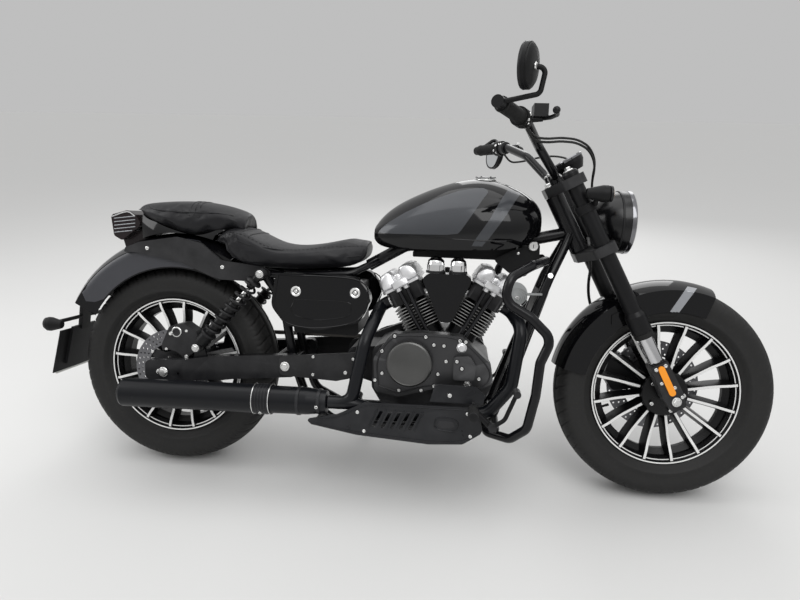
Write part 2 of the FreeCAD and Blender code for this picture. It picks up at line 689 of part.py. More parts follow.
def make_intake_domes():
    domes = []
    for name, x, radius in (("Rear", 819, 26), ("Front", 884, 24)):
        dome = turned(name + "IntakeDome", [(0, 0), (radius, 0), (radius, 24, 3), (radius * 0.92, 36, 8),
                                            (radius * 0.5, 46, 8), (0, 48)])
        dome.Placement = Placement(Vector(x, -98, size("cleaner_top")), turn(along_x, 90))
        domes.append(dome)
    return grouped("IntakeDomes", domes)


finish(make_intake_domes(), "intake_domes")


# Exhaust

muffler_frame = Placement(Vector(0, -size("muffler_side"), size("muffler_z")), turn(along_y, -1.0))


def make_muffler():
    """Body, band and the tapered pipe that takes both headers, open at its tail."""
    radius, front = size("muffler_radius"), size("muffler_front")
    corners = [(-99, 0), (-99, radius - 4, 3), (-92, radius, 3), (312, radius), (314, radius + 2),
               (362, radius + 2),
               (364, radius - 2), (front - 60, radius - 3), (front - 4, radius - 10), (front, 0)]
    body = turned("MufflerShell", corners, "H_Axis")
    body.Placement = muffler_frame
    pipe = rod("TailBore", muffler_frame.multVec(Vector(-130, 0, 0)),
               muffler_frame.multVec(Vector(-34, 0, 0)), "21")
    return cut("Muffler", body, pipe)


finish(make_muffler(), "muffler")


def make_headers():
    """Pipe from each cylinder to the front of the muffler."""
    gap = size("seat_gap")
    face = size("fin_size") / 2 - 6 + gap
    joint = muffler_frame.multVec(Vector(size("muffler_front") + gap, 0, 0))
    entry = muffler_frame.multVec(Vector(size("muffler_front") + 66, 0, 0))
    rear = [bank_frame(-1).multVec(Vector(-face, -40, 246)),
            bank_frame(-1).multVec(Vector(-face - 36, -40, 246)),
            Vector(646, -120, 508), Vector(626, -168, 450), entry, joint]
    front = [bank_frame(1).multVec(Vector(face, -40, 246)),
             bank_frame(1).multVec(Vector(face + 36, -40, 246)),
             Vector(1076, -100, 500), Vector(1052, -128, 330), Vector(985, -140, 250), Vector(700, -168, 236),
             entry, joint]
    pipes = [swept("RearHeader", rear, cell("header_radius"), size("bend_radius")),
             swept("FrontHeader", front, cell("header_radius"), size("bend_radius"))]
    return fused("Headers", pipes)


finish(make_headers(), "exhaust_headers")


def make_belly_cover():
    """Slotted shell over the collector and the pipes below the engine, on two tabs from the frame."""
    outline = [(470, 226, 6), (560, 246, 20), (640, 286, 14), (955, 292, 14), (975, 222, 20), (920, 184, 20),
               (825, 177, 40), (617, 190, 40), (486, 212, 10)]
    face, wall = size("belly_face"), size("belly_wall")
    body = slab("BellyPlate", outline, -(face - wall / 2), cell("belly_wall"))
    doc.recompute()
    slots = [[(660 + 26 * number, 216, 3), (670 + 26 * number, 216, 3), (694 + 26 * number, 266, 3),
              (684 + 26 * number, 266, 3)] for number in range(5)]
    tools = [slab(f"Slot{number}", corners, -face, "20") for number, corners in enumerate(slots)]
    lip = slab("BellyLip", [(486, 212, 6), (617, 190, 40), (825, 177, 40), (920, 184, 20), (966, 216, 10),
                            (960, 222, 6), (918, 191, 18), (825, 184, 36), (617, 197, 36), (490, 219, 6)],
               -(face - wall - 34), "70")
    seat = size("rail_side") + size("cradle_radius") + size("seat_gap")
    tabs = [rod(f"BellyTab{number}", Vector(x, -seat, z), Vector(x, -(face - wall - 60), z), "5")
            for number, (x, z) in enumerate(((640, 191), (800, 183)))]
    return cut("BellyCover", fused("BellyShell", [body, lip] + tabs), fused("BellySlots", tools))


finish(make_belly_cover(), "belly_cover")


# Tank, seats and covers

def tank_section(x, half, low, high):
    """Closed D-shaped section: flat floor, bulging flanks, crowned top."""
    shoulder = low + (high - low) * 0.72
    waist = low + (high - low) * 0.34
    floor = half * 0.86
    left_arc = Part.Arc(Vector(x, floor, low), Vector(x, half, waist), Vector(x, half * 0.78, shoulder))
    top_arc = Part.Arc(Vector(x, half * 0.78, shoulder), Vector(x, 0, high),
                       Vector(x, -half * 0.78, shoulder))
    right_arc = Part.Arc(Vector(x, -half * 0.78, shoulder), Vector(x, -half, waist), Vector(x, -floor, low))
    base = Part.LineSegment(Vector(x, -floor, low), Vector(x, floor, low))
    return wire_of([left_arc, top_arc, right_arc, base])


cap_x = 952


def make_tank():
    """Lofted shell over the backbone, with the tunnel below and the well for the cap."""
    sections = (
        # x, half width, floor height, top height
        (630, 66, 742, 786), (660, 92, 722, 821), (740, 122, 718, 872), (850, 142, 720, 915),
        (950, 148, 724, 929), (1040, 132, 734, 906), (1095, 94, 760, 872), (1118, 54, 782, 842),
    )
    body = shaped("TankBody", Part.makeLoft([tank_section(*row) for row in sections], True))
    tunnel = size("tank_tunnel")
    channel = box("TankTunnel", (600, -tunnel, 700), (1160, tunnel, size("tunnel_top")))
    seat = Vector(cap_x, 0, size("cap_seat"))
    well = rod("CapWell", seat, seat + Vector(0, 0, 40), cell("cap_radius") + " + " + cell("seat_gap"))
    return cut("FuelTank", body, fused("TankCuts", [channel, well]))


finish(make_tank(), "fuel_tank")


def make_cap():
    radius = size("cap_radius")
    return turned("FuelCap", [(0, 0), (radius, 0), (radius, 14, 2), (radius - 5, 17, 3), (0, 18)])


finish(make_cap(), "fuel_cap", standing,
       Placement(Vector(cap_x, 0, size("cap_seat") + size("seat_gap")), turn(along_x, 90)))


def seat_section(x, half, low, high, crown):
    """Closed section of a pad: flat underside and a crowned top."""
    edge = high - crown
    points = [Vector(x, -half + 10, low), Vector(x, -half, low + (edge - low) * 0.5),
              Vector(x, -half + 6, edge)]
    other = mirrored(points)
    return wire_of([Part.Arc(*points), Part.Arc(points[2], Vector(x, 0, high), other[2]),
                    Part.Arc(other[2], other[1], other[0]), Part.LineSegment(other[0], points[0])])


seats = (
    # name, then rows of x, half width, underside, top, crown
    ("rider_seat", ((118, 78, 700, 724, 8), (200, 112, 664, 764, 14), (246, 124, 654, 750, 16),
                    (320, 132, 650, 718, 16), (430, 130, 650, 712, 14), (520, 104, 656, 730, 16),
                    (580, 76, 668, 745, 18), (612, 62, 700, 744, 16))),
    ("passenger_seat", ((-144, 34, 806, 814, 4), (-108, 64, 792, 821, 10), (-50, 84, 766, 828, 14),
                        (20, 94, 744, 832, 18), (90, 96, 735, 831, 18), (160, 92, 759, 822, 16),
                        (214, 80, 785, 807, 10), (236, 60, 791, 799, 4))),
)


def fender_room(name):
    """Space that the rear fender takes out of whatever sits on it."""
    reach = size("rear_fender_half") + size("seat_gap")
    centre = Vector(size("rear_fender_x"), 0, size("rear_fender_z"))
    return rod(name, centre - Vector(0, reach, 0), centre + Vector(0, reach, 0),
               cell("rear_fender_radius") + " + " + cell("seat_gap"))


for name, rows in seats:
    pad = shaped(name + "_pad", Part.makeLoft([seat_section(*row) for row in rows], True))
    finish(cut(name + "_on_fender", pad, fender_room(name + "_notch")), name)


def make_seat_cowl():
    """Black shell that fills the space between the passenger pad and the fender."""
    rows = ((-111, 46, 690, 796, 4), (-60, 66, 680, 774, 4), (20, 80, 680, 752, 4), (90, 84, 670, 742, 4),
            (150, 82, 650, 756, 4), (196, 60, 640, 740, 8))
    shell = shaped("CowlShell", Part.makeLoft([seat_section(*row) for row in rows], True))
    pad = shaped("CowlPad", Part.makeLoft([seat_section(*row) for row in dict(seats)["passenger_seat"]],
                                          True))
    rider = shaped("CowlRider", Part.makeLoft([seat_section(*row) for row in dict(seats)["rider_seat"]],
                                              True))
    return cut("SeatCowl", shell, fused("CowlRoom", [fender_room("CowlFender"), pad, rider]))


finish(make_seat_cowl(), "seat_cowl")


def make_battery_box():
    """Case for battery and wiring behind the side covers, on a tab from the upper cross tube."""
    side, gap = size("box_side"), size("seat_gap")
    case = slab("BatteryCase", [(396, 452, 10), (594, 452, 10), (594, 606, 10), (396, 606, 10)], 0,
                "2 * " + cell("box_side"))
    tab = box("BatteryTab", (350 + size("rail_radius") + gap, -30, 538), (400, 30, 558))
    return fused("BatteryBox", [case, tab])


finish(make_battery_box(), "battery_box")


def make_wiring_tray():
    """Tray under the backbone, inside the tank's tunnel."""
    drop = size("backbone_radius") + size("seat_gap") + 0.1
    slope = (752 - 724) / (1080 - 720)
    top = [724 + (x - 720) * slope - drop for x in (744, 1044)]
    outline = [(744, 692, 4), (1044, 692, 4), (1044, top[1]), (744, top[0])]
    return slab("WiringTray", outline, 0, "2 * " + cell("tray_half"))


finish(make_wiring_tray(), "wiring_tray")


def make_neck_covers():
    """Matte plate on each side of the steering neck, on a bar below the backbone."""
    outline = [(984, 694, 8), (1036, 722, 20), (1117, 752, 10), (1118, 690, 14), (1078, 647, 14),
               (1032, 657, 10)]
    side, thick = size("neck_cover_side"), size("neck_cover_thick")
    plates = [slab(hand + "NeckCover", outline, sign * (side - thick / 2), cell("neck_cover_thick"))
              for hand, sign in sides]
    below = 724 + (1064 - 720) * (752 - 724) / (1080 - 720) - size("backbone_radius") - size("seat_gap") - 8.1
    bar = rod("NeckBar", Vector(1064, -side + 2, below), Vector(1064, side - 2, below), "8")
    return fused("NeckCovers", plates + [bar])


finish(make_neck_covers(), "neck_covers")


def make_side_covers():
    outline = [(352, 636, 26), (594, 632, 34), (640, 576, 40), (606, 500, 34), (484, 470, 50), (384, 480, 34),
               (338, 537, 40)]
    thick = size("side_cover_thick")
    covers = [slab(hand + "SideCover", outline, sign * (size("side_cover_face") - thick / 2),
                   cell("side_cover_thick")) for hand, sign in sides]
    return grouped("SideCovers", covers)


finish(make_side_covers(), "side_covers")


def make_pivot_covers():
    """Plate over each end of the swingarm pivot, bored for the shaft, with a spacer to the gearbox."""
    outline = [(366, 330, 16), (366, 388, 16), (606, 412, 10), (612, 340, 10), (540, 322, 20)]
    inner, thick = size("pivot_cover_inner"), size("pivot_cover_thick")
    hole = [(size("pivot_x"), size("pivot_z"), size("pivot_radius") + size("bore_clearance"))]
    seats = {"Right": (580, 75, 388),
             "Left": (size("drive_sprocket_x"), size("sprocket_side") + 8, size("drive_sprocket_z"))}
    covers = []
    for hand, sign in sides:
        plate = slab(hand + "PivotPlate", outline, sign * (inner + thick / 2), cell("pivot_cover_thick"), 0,
                     hole)
        x, root, z = seats[hand]
        spacer = rod(hand + "PlateSpacer", Vector(x, sign * (root + size("seat_gap")), z),
                     Vector(x, sign * (inner + 2), z), "8")
        covers.append(fused(hand + "PivotCover", [plate, spacer]))
    return grouped("PivotCovers", covers)


finish(make_pivot_covers(), "pivot_covers")


# Fenders

def fender_shell(name, outer, half, depth, first, last):
    """Sheet with a crowned top and two side skirts, turned about the axle between two angles."""
    wall = size("sheet_metal")

    def trough(shrink):
        top, side, low = outer - shrink, half - shrink, outer - depth
        knee = outer - 0.32 * half
        return [Vector(low, -side, 0), Vector(knee, -side, 0), Vector(top, 0, 0), Vector(knee, side, 0),
                Vector(low, side, 0)]

    out, inner = trough(0), trough(wall)
    edges = [Part.LineSegment(out[0], out[1]), Part.Arc(out[1], out[2], out[3]),
             Part.LineSegment(out[3], out[4]),
             Part.LineSegment(out[4], inner[4]), Part.LineSegment(inner[4], inner[3]),
             Part.Arc(inner[3], inner[2], inner[1]), Part.LineSegment(inner[1], inner[0]),
             Part.LineSegment(inner[0], out[0])]
    body = new_body(name)
    add_turn(body, add_sketch(body, "XY_Plane", edges), "V_Axis", last - first)
    return body, turn(along_y, -last)


def make_front_fender():
    """Sheet between the fork legs with a stay plate to each leg."""
    shell, start = fender_shell("FrontFenderShell", size("front_fender_radius"), size("front_fender_half"),
                                size("fender_side_depth"), size("front_fender_first"),
                                size("front_fender_last"))
    shell.Placement = Placement(front_axle, start)
    outer = size("fork_spacing") / 2 - size("collar_radius") - size("seat_gap")
    stays = []
    low, high = front_axle + fork_up * 244, front_axle + fork_up * 290
    for hand, sign in sides:
        corners = [(low.x - 64, low.z - 18, 8), (low.x - 66, low.z + 16, 8), (high.x + 6, high.z + 4, 8),
                   (low.x + 14, low.z - 4, 8)]
        stays.append(slab(hand + "FenderStay", corners, sign * (outer - size("stay_thick") / 2),
                          cell("stay_thick")))
    return fused("FrontFender", [shell] + stays)


finish(make_front_fender(), "front_fender", steered)


def make_rear_fender():
    shell, start = fender_shell("RearFenderShell", size("rear_fender_radius"), size("rear_fender_half"),
                                size("rear_side_depth"), size("rear_fender_first"), size("rear_fender_last"))
    return shell, Placement(Vector(size("rear_fender_x"), 0, size("rear_fender_z")), start)


rear_shell, rear_shell_place = make_rear_fender()
finish(rear_shell, "rear_fender", standing, rear_shell_place)


def make_struts():
    """Plate along each side of the rear fender, with the stud that carries the top of the shock."""
    outline = [(-190, 676, 8), (-180, 690, 8), (-92, 708, 30), (30, 728, 30), (108, 712, 20), (172, 662, 20),
               (300, 648, 14), (326, 632, 12), (316, 612, 12), (288, 602, 8), (170, 604, 20), (140, 612, 20),
               (45, 650, 30), (-114, 676, 30)]
    thick = size("strut_thick")
    inner = size("rear_fender_half") + size("seat_gap")
    plates = []
    for hand, sign in sides:
        plate = slab(hand + "StrutPlate", outline, sign * (inner + thick / 2), cell("strut_thick"))
        stud = rod(hand + "StrutStud", shock_top + Vector(0, sign * inner, 0),
                   shock_top + Vector(0, sign * (size("shock_side") + size("eye_width") / 2 + 6), 0),
                   cell("stud_radius"))
        plates.append(fused(hand + "Strut", [plate, stud]))
    return grouped("FenderStruts", plates)


finish(make_struts(), "fender_struts")


def make_tail_lamp():
    """Lamp and the short bracket that carries it on the fender."""
    outline = [(-122, 752, 10), (-118, 766, 6), (-134, 790, 8), (-160, 803, 12), (-215, 787, 12),
               (-206, 722, 12),
               (-180, 708, 8)]
    lamp = slab("TailLampCase", outline, 0, cell("tail_lamp_width"))
    bracket = slab("TailLampBracket", [(-196, 724), (-132, 748), (-112, 690), (-176, 660)], 0, "36")
    return cut("TailLamp", fused("TailLampUnit", [lamp, bracket]), fender_room("TailLampSeat"))


finish(make_tail_lamp(), "tail_lamp")


plate_top = Vector(-356, 0, 418)


def make_plate_holder():
    """Blank number plate, its back plate and the arm up to the end of the rear fender."""
    holder_frame = Placement(plate_top, turn(along_y, 13))
    plate = box("Plate", (-2, -110, -142), (1, 110, 0))
    back = box("PlateBack", (1, -60, -120), (9, 60, 6))
    for board in (plate, back):
        board.Placement = holder_frame * board.Placement
    end_angle = math.radians(size("rear_fender_last"))
    radial = Vector(math.cos(end_angle), 0, math.sin(end_angle))
    beyond = Vector(-math.sin(end_angle), 0, math.cos(end_angle)) * size("seat_gap")
    centre = Vector(size("rear_fender_x"), 0, size("rear_fender_z"))
    inner, outer = [centre + radial * (size("rear_fender_radius") + reach) + beyond for reach in (-10, 4)]
    foot = holder_frame.multVec(Vector(14, 0, -6))
    arm = slab("PlateArm", [(inner.x, inner.z), (outer.x, outer.z), (plate_top.x, plate_top.z),
                            (foot.x, foot.z)], 0,
               "2 * " + cell("plate_arm_half"))
    return fused("PlateHolder", [plate, back, arm])


finish(make_plate_holder(), "number_plate_holder")


def make_signal(name, radius, length):
    """Bullet lamp along X: tapered back, round lens in front."""
    return turned(name, [(-length, 0), (-length, radius * 0.55, 4), (-length * 0.3, radius, 6), (-4, radius),
                         (2, radius * 0.8, 3), (6, 0)], "H_Axis")


def make_rear_signals():
    units = []
    for hand, sign in sides:
        lamp = make_signal(hand + "RearLamp", 21, 48)
        lamp.Placement = Placement(Vector(-352, sign * 172, 452), turn(along_z, 180))
        stalk = rod(hand + "RearStalk", Vector(-345, sign * (size("plate_arm_half") + size("seat_gap")), 452),
                    Vector(-345, sign * 160, 452), "6")
        units.append(fused(hand + "RearSignal", [lamp, stalk]))
    return grouped("RearSignals", units)


finish(make_rear_signals(), "rear_turn_signals")


# Guards, radiator, pegs and foot controls

def make_guards():
    points = [Vector(1138, -56, 697), Vector(1085, -190, 690), Vector(1022, -262, 662),
              Vector(1010, -268, 600),
              Vector(1080, -268, 560), Vector(1138, -268, 505), Vector(1112, -268, 440),
              Vector(1106, -266, 350),
              Vector(1090, -248, 250), Vector(1050, -205, 203), Vector(988, -150, 199),
              Vector(985, -(size("rail_side") + size("cradle_radius") + size("seat_gap")), 199)]
    bars = [swept("RightGuard", points, cell("guard_radius"), 40),
            swept("LeftGuard", mirrored(points), cell("guard_radius"), 40)]
    return grouped("Guards", bars)


finish(make_guards(), "engine_guards")


radiator_frame = Placement(Vector(1102, 0, 492), turn(along_y, 17))


def make_radiator():
    """Core between the down tubes with a mount out to each."""
    core = box("RadiatorCore", (-16, -46, -150), (16, 46, 120))
    core.Placement = radiator_frame * core.Placement
    mounts = [rod(hand + "CoreMount", radiator_frame.multVec(Vector(-6, sign * 44, -60)),
                  radiator_frame.multVec(Vector(-6, sign * 57, -60)), "6") for hand, sign in sides]
    return fused("Radiator", [core] + mounts)


finish(make_radiator(), "radiator")


horn_centre = Vector(1050, -112, 602)


def make_horn():
    """Dished horn and the strap that holds it beside the right down tube."""
    dish = turned("HornDish", [(0, -12), (20, -12), (24, -7), (34, -4, 2), (34, 4, 2), (0, 8)])
    dish.Placement = Placement(horn_centre, turn(along_x, 180))
    strap = rod("HornStrap", horn_centre + Vector(26, 4, 0), Vector(1128, -77.5, 600), "4")
    return fused("Horn", [dish, strap])


finish(make_horn(), "horn")


def make_pegs():
    """Rider's peg on each side, on a hanger that comes out from the cradle in front of the belly cover."""
    x, side = size("peg_x"), size("hanger_side")
    pegs = []
    for hand, sign in sides:
        points = [Vector(size("hanger_x"), sign * size("peg_root"), size("hanger_z")),
                  Vector(size("hanger_x"), sign * side, size("hanger_z")), Vector(x + 4, sign * side, 287)]
        hanger = swept(hand + "PegHanger", points, cell("hanger_radius"), 30)
        peg = rod(hand + "Peg", Vector(x, sign * (side - 9.4), 290), Vector(x, sign * 302, 290),
                  cell("peg_radius"))
        pegs.append(fused(hand + "PegUnit", [peg, hanger]))
    return grouped("Pegs", pegs)


finish(make_pegs(), "foot_pegs")


def make_foot_levers():
    """Brake pedal on the right and shift lever on the left, each pivoted on its peg's hanger."""
    near = size("hanger_side") + size("hanger_radius") + size("seat_gap")
    levers = []
    for hand, sign in sides:
        pivot = Vector(998, sign * near, 249)
        middle = near + 7
        hub = rod(hand + "LeverHub", pivot, pivot + Vector(0, sign * 14, 0), "12")
        arm = swept(hand + "LeverArm", [Vector(998, sign * middle, 249), Vector(1030, sign * middle, 272),
                                        Vector(1058, sign * middle, 346)], "6", 30)
        toe = rod(hand + "Toe", Vector(1058, sign * (middle - 14), 350),
                  Vector(1058, sign * (middle + 22), 350), "10")
        levers.append(fused(hand + "Lever", [hub, arm, toe]))
    return grouped("FootLevers", levers)


finish(make_foot_levers(), "foot_levers")


def make_rear_caliper():
    side, gap = size("rear_disc_side"), size("disc_gap") + size("disc_thick") / 2
    outline = [(-14, 352, 8), (-22, 392, 12), (4, 452, 16), (50, 464, 16), (94, 436, 16), (96, 384, 10),
               (60, 356, 8)]
    face = size("swingarm_side") - size("swingarm_thick") / 2 - size("seat_gap")
    block = slab("RearCaliperBlock", outline, -(face - 25), "50")
    slot = turned("RearSlot", [(0, -gap), (size("rear_disc_radius") + size("disc_gap"), -gap),
                               (size("rear_disc_radius") + size("disc_gap"), gap), (0, gap)])
    slot.Placement = Placement(rear_axle - Vector(0, side, 0), Rotation())
    hub_room = turned("RearHubRoom", [(0, -40), (62, -40), (62, 40), (0, 40)])
    hub_room.Placement = Placement(rear_axle - Vector(0, side - 8, 0), Rotation())
    return cut("RearCaliper", block, fused("RearCaliperRoom", [slot, hub_room]))


finish(make_rear_caliper(), "rear_brake_caliper")


def chain_loop(grow):
    """Outline of a band round the two sprockets, grown outward."""
    big = Vector(0, size("rear_tyre_radius"), 0)
    small = Vector(size("drive_sprocket_x"), size("drive_sprocket_z"), 0)
    big_radius, small_radius = size("sprocket_radius") + grow, size("drive_sprocket_radius") + grow
    across = small - big
    spread = math.acos((big_radius - small_radius) / across.Length)
    heading = math.atan2(across.y, across.x)

    def on(centre, radius, angle):
        return centre + Vector(math.cos(angle), math.sin(angle), 0) * radius

    up, down = heading + spread, heading - spread
    return [Part.Arc(on(big, big_radius, up), on(big, big_radius, heading + math.pi),
                     on(big, big_radius, down)),
            Part.LineSegment(on(big, big_radius, down), on(small, small_radius, down)),
            Part.Arc(on(small, small_radius, down), on(small, small_radius, heading),
                     on(small, small_radius, up)),
            Part.LineSegment(on(small, small_radius, up), on(big, big_radius, up))]


def make_chain():
    body = new_body("Chain")
    gap, depth = size("chain_gap"), size("chain_depth")
    edges = chain_loop(gap + depth) + chain_loop(gap)
    add_pad(body, add_sketch(body, "XZ_Plane", edges, -size("sprocket_side")), cell("chain_width"))
    return body


finish(make_chain(), "drive_chain")


# Steering: clamps, fork, handlebar and what they carry

clamp_front = 2


def make_clamps():
    """Two clamps across the legs and the stem between them."""
    spacing, thick = size("fork_spacing") / 2, size("clamp_thick")
    leg, offset = size("fork_tube_radius"), size("fork_offset")
    plates = []
    for name, station in (("Lower", size("lower_clamp")), ("Upper", size("upper_clamp"))):
        body = new_body(name + "Clamp")
        ring, back, front = leg + size("clamp_wall"), offset + size("stem_radius") + size("clamp_wall"), clamp_front
        half = [(ring, spacing + ring, 20), (-ring, spacing + ring, 20), (-back, 28, 16)]
        recess = [(front, spacing - ring - 16, 8), (ring, spacing - ring + 3, 8)]
        outline = half + [(x, -y, radius) for x, y, radius in reversed(half)]
        outline += [(x, -y, radius) for x, y, radius in reversed(recess)] + recess
        edges = flat_path(outline)
        for hand in (-1, 1):
            edges.append(Part.Circle(Vector(0, hand * spacing, 0), along_z, leg))
        add_pad(body, add_sketch(body, "XY_Plane", edges, station), cell("clamp_thick"))
        plates.append(body)
    stem = doc.addObject("Part::Cylinder", "Stem")
    stem.setExpression("Radius", cell("stem_radius"))
    stem.Height = size("upper_clamp") - size("lower_clamp") + thick - 2
    stem.Placement = Placement(Vector(-offset, 0, size("lower_clamp") - thick / 2 + 1), Rotation())
    return fused("ForkClamps", plates + [stem])


finish(make_clamps(), "fork_clamps", fork_frame)


def make_fork_tubes():
    """Black outer tube of each leg, collar below and cap above, open for the stanchion."""
    spacing, outer = size("fork_spacing") / 2, size("fork_tube_radius")
    inner = size("stanchion_radius") + size("bore_clearance")
    low, high = size("tube_low"), size("tube_high")
    collar, collar_radius = size("collar_height"), size("collar_radius")
    legs = []
    for hand, sign in sides:
        tube = turned(hand + "ForkTube", [(inner, low), (collar_radius, low, 3),
                                          (collar_radius, low + collar, 6),
                                          (outer, low + collar + 12), (outer, high, 3),
                                          (outer - 4, high + 8, 3),
                                          (0, high + 8), (0, high - 30), (inner, high - 30)])
        tube.Placement = Placement(Vector(0, sign * spacing, 0), turn(along_x, 90))
        legs.append(tube)
    return grouped("ForkTubes", legs)


finish(make_fork_tubes(), "fork_tubes", fork_frame)


def make_fork_sliders():
    """Polished stanchion and the axle carrier below it."""
    spacing, radius = size("fork_spacing") / 2, size("stanchion_radius")
    top, bottom, width = size("carrier_top"), size("carrier_bottom"), size("carrier_width")
    legs = []
    for hand, sign in sides:
        rail = rod(hand + "Stanchion", Vector(0, sign * spacing, top - 20),
                   Vector(0, sign * spacing, size("tube_high") - 120), cell("stanchion_radius"))
        body = new_body(hand + "Carrier")
        outline = [(-22, bottom, 14), (22, bottom, 14), (28, 20, 20), (25, top, 6), (-25, top, 6),
                   (-28, 20, 20)]
        edges = flat_path(outline)
        edges.append(Part.Circle(Vector(), along_z, size("axle_radius")))
        add_pad(body, add_sketch(body, "XZ_Plane", edges, -sign * spacing), cell("carrier_width"))
        legs.append(fused(hand + "Slider", [rail, body]))
    return grouped("ForkSliders", legs)


finish(make_fork_sliders(), "fork_sliders", fork_frame)
finish(make_axle("FrontAxle", (size("fork_spacing") + size("carrier_width")) / 2 + 4), "front_axle",
       front_wheel_frame)


def make_reflectors():
    outline = [(-9, 20, 9), (9, 20, 9), (9, 112, 9), (-9, 112, 9)]
    face = (size("fork_spacing") + size("carrier_width")) / 2
    return grouped("Reflectors", [slab(hand + "Reflector", outline, sign * (face + 2.5), "5")
                                  for hand, sign in sides])


finish(make_reflectors(), "fork_reflectors", fork_frame)


def make_front_caliper():
    side, gap = size("front_disc_side"), size("disc_gap") + size("disc_thick") / 2
    outline = [(-122, 40, 14), (-128, 96, 20), (-84, 140, 18), (-46, 132, 12), (-28.3, 100, 8), (-28.3, 24),
               (-78, 24, 12)]
    block = slab("FrontCaliperBlock", outline, side + 6, "54")
    radius = size("front_disc_radius") + size("disc_gap")
    slot = turned("FrontSlot", [(0, -gap), (radius, -gap), (radius, gap), (0, gap)])
    slot.Placement = Placement(Vector(0, side, 0), Rotation())
    return cut("FrontCaliper", block, slot)


finish(make_front_caliper(), "front_brake_caliper", fork_frame)


def make_headlight():
    """Bucket, bezel and domed glass about X, on a bracket that stands on the lower clamp."""
    corners = [(1254, 0), (1258, 30, 14), (1300, 78, 30), (1338, 89, 14), (1366, 91, 3), (1372, 86, 3),
               (1384, 58, 30), (1389, 0)]
    shell = turned("HeadlightShell", corners, "H_Axis")
    shell.Placement = Placement(Vector(0, 0, 815), Rotation())
    seat = size("lower_clamp") + size("clamp_thick") / 2 + size("seat_gap")
    bracket = box("HeadlightBracket", (clamp_front - 12, -22, seat), (clamp_front + 14, 22, seat + 24))
    bracket.Placement = Placement(front_axle, turn(along_y, -size("rake"))) * bracket.Placement
    return fused("Headlight", [shell, bracket])


finish(make_headlight(), "headlight", steered)


def make_front_signals():
    """Bullet lamps, each on a ring clamped round its fork tube."""
    spacing, tube = size("fork_spacing") / 2, size("fork_tube_radius")
    upright = Placement(front_axle, turn(along_y, -size("rake")))
    units = []
    for hand, sign in sides:
        lamp = make_signal(hand + "FrontLamp", 23, 62)
        lamp.Placement = Placement(Vector(1276, sign * 152, 887), Rotation())
        inner = tube + size("bore_clearance")
        ring = turned(hand + "SignalRing", [(inner, 590), (tube + 6, 590, 2), (tube + 6, 614, 2),
                                            (inner, 614)])
        ring.Placement = upright * Placement(Vector(0, sign * spacing, 0), turn(along_x, 90))
        stalk = rod(hand + "FrontStalk", on_fork(24, sign * (spacing + 18), 602),
                    Vector(1244, sign * 150, 884), "7")
        units.append(fused(hand + "FrontSignal", [lamp, ring, stalk]))
    return grouped("FrontSignals", units)


finish(make_front_signals(), "front_turn_signals", steered)

bar_middle = Vector(1146, 30, 938)
bar_forward = (bar_middle - front_axle).dot(fork_forward)
bar_up = (bar_middle - front_axle).dot(fork_up)
bar_end = Vector(953, 400, 1066)
bar_inner = Vector(1034, 240, 1056)
bar_route = [bar_end, bar_inner, Vector(1086, 112, 1012), Vector(1142, 62, 944), Vector(1146, 30, 938),
             Vector(1146, -30, 938), Vector(1142, -62, 944), Vector(1086, -112, 1012),
             Vector(1034, -240, 1056), Vector(953, -400, 1066)]


def make_handlebar():
    """Bar bent back to the grips, on two risers that stand on the upper clamp."""
    bar = swept("Bar", bar_route, cell("bar_radius"), 46)
    seat = size("upper_clamp") + size("clamp_thick") / 2 + size("seat_gap")
    risers = [rod(hand + "Riser", on_fork(bar_forward, sign * 30, seat),
                  on_fork(bar_forward, sign * 30, bar_up + 8),
                  "17") for hand, sign in sides]
    return fused("Handlebar", [bar] + risers)


finish(make_handlebar(), "handlebar", steered)


def along_grip(fraction, sign):
    point = bar_end + (bar_inner - bar_end) * fraction
    return Vector(point.x, sign * point.y, point.z)


housing_radius = 24


def make_grips():
    """Rubber grip and the switch housing inboard of it, both bored for the bar."""
    units = []
    for hand, sign in sides:
        grip = rod(hand + "GripRubber", along_grip(0.01, sign), along_grip(0.68, sign), cell("grip_radius"))
        housing = rod(hand + "SwitchHousing", along_grip(0.67, sign), along_grip(0.815, sign),
                      str(housing_radius))
        bore = rod(hand + "GripBore", along_grip(-0.2, sign), along_grip(0.99, sign),
                   cell("bar_radius") + " + " + cell("bore_clearance"))
        units.append(cut(hand + "Grip", fused(hand + "GripUnit", [grip, housing]), bore))
    return grouped("Grips", units)


finish(make_grips(), "hand_grips", steered)


def make_hand_levers():
    """Perch bored for the bar, lever with its ball end, and the fluid reservoir on the right."""
    units = []
    for hand, sign in sides:
        pivot = Vector(1070, sign * 256, 1062)
        ring = rod(hand + "PerchRing", along_grip(0.83, sign), along_grip(0.95, sign), "20")
        arm = rod(hand + "PerchArm", along_grip(0.89, sign), pivot, "8")
        bore = rod(hand + "PerchBore", along_grip(0.7, sign), along_grip(0.99, sign),
                   cell("bar_radius") + " + " + cell("bore_clearance"))
        perch = cut(hand + "Perch", fused(hand + "PerchBody", [ring, arm]), bore)
        ball_centre = Vector(1082, sign * 384, 1058)
        blade = swept(hand + "LeverBlade", [pivot, Vector(1086, sign * 282, 1060),
                                            Vector(1094, sign * 330, 1058),
                                            ball_centre], "5.5", 30)
        ball = doc.addObject("Part::Sphere", hand + "LeverBall")
        ball.Radius = 9
        ball.Placement = Placement(ball_centre, Rotation())
        parts = [perch, blade, ball]
        if hand == "Right":
            parts.append(box("Reservoir", (1046, -272, 1064), (1082, -222, 1096)))
        units.append(fused(hand + "HandLever", parts))
    return grouped("HandLevers", units)


finish(make_hand_levers(), "hand_levers", steered)


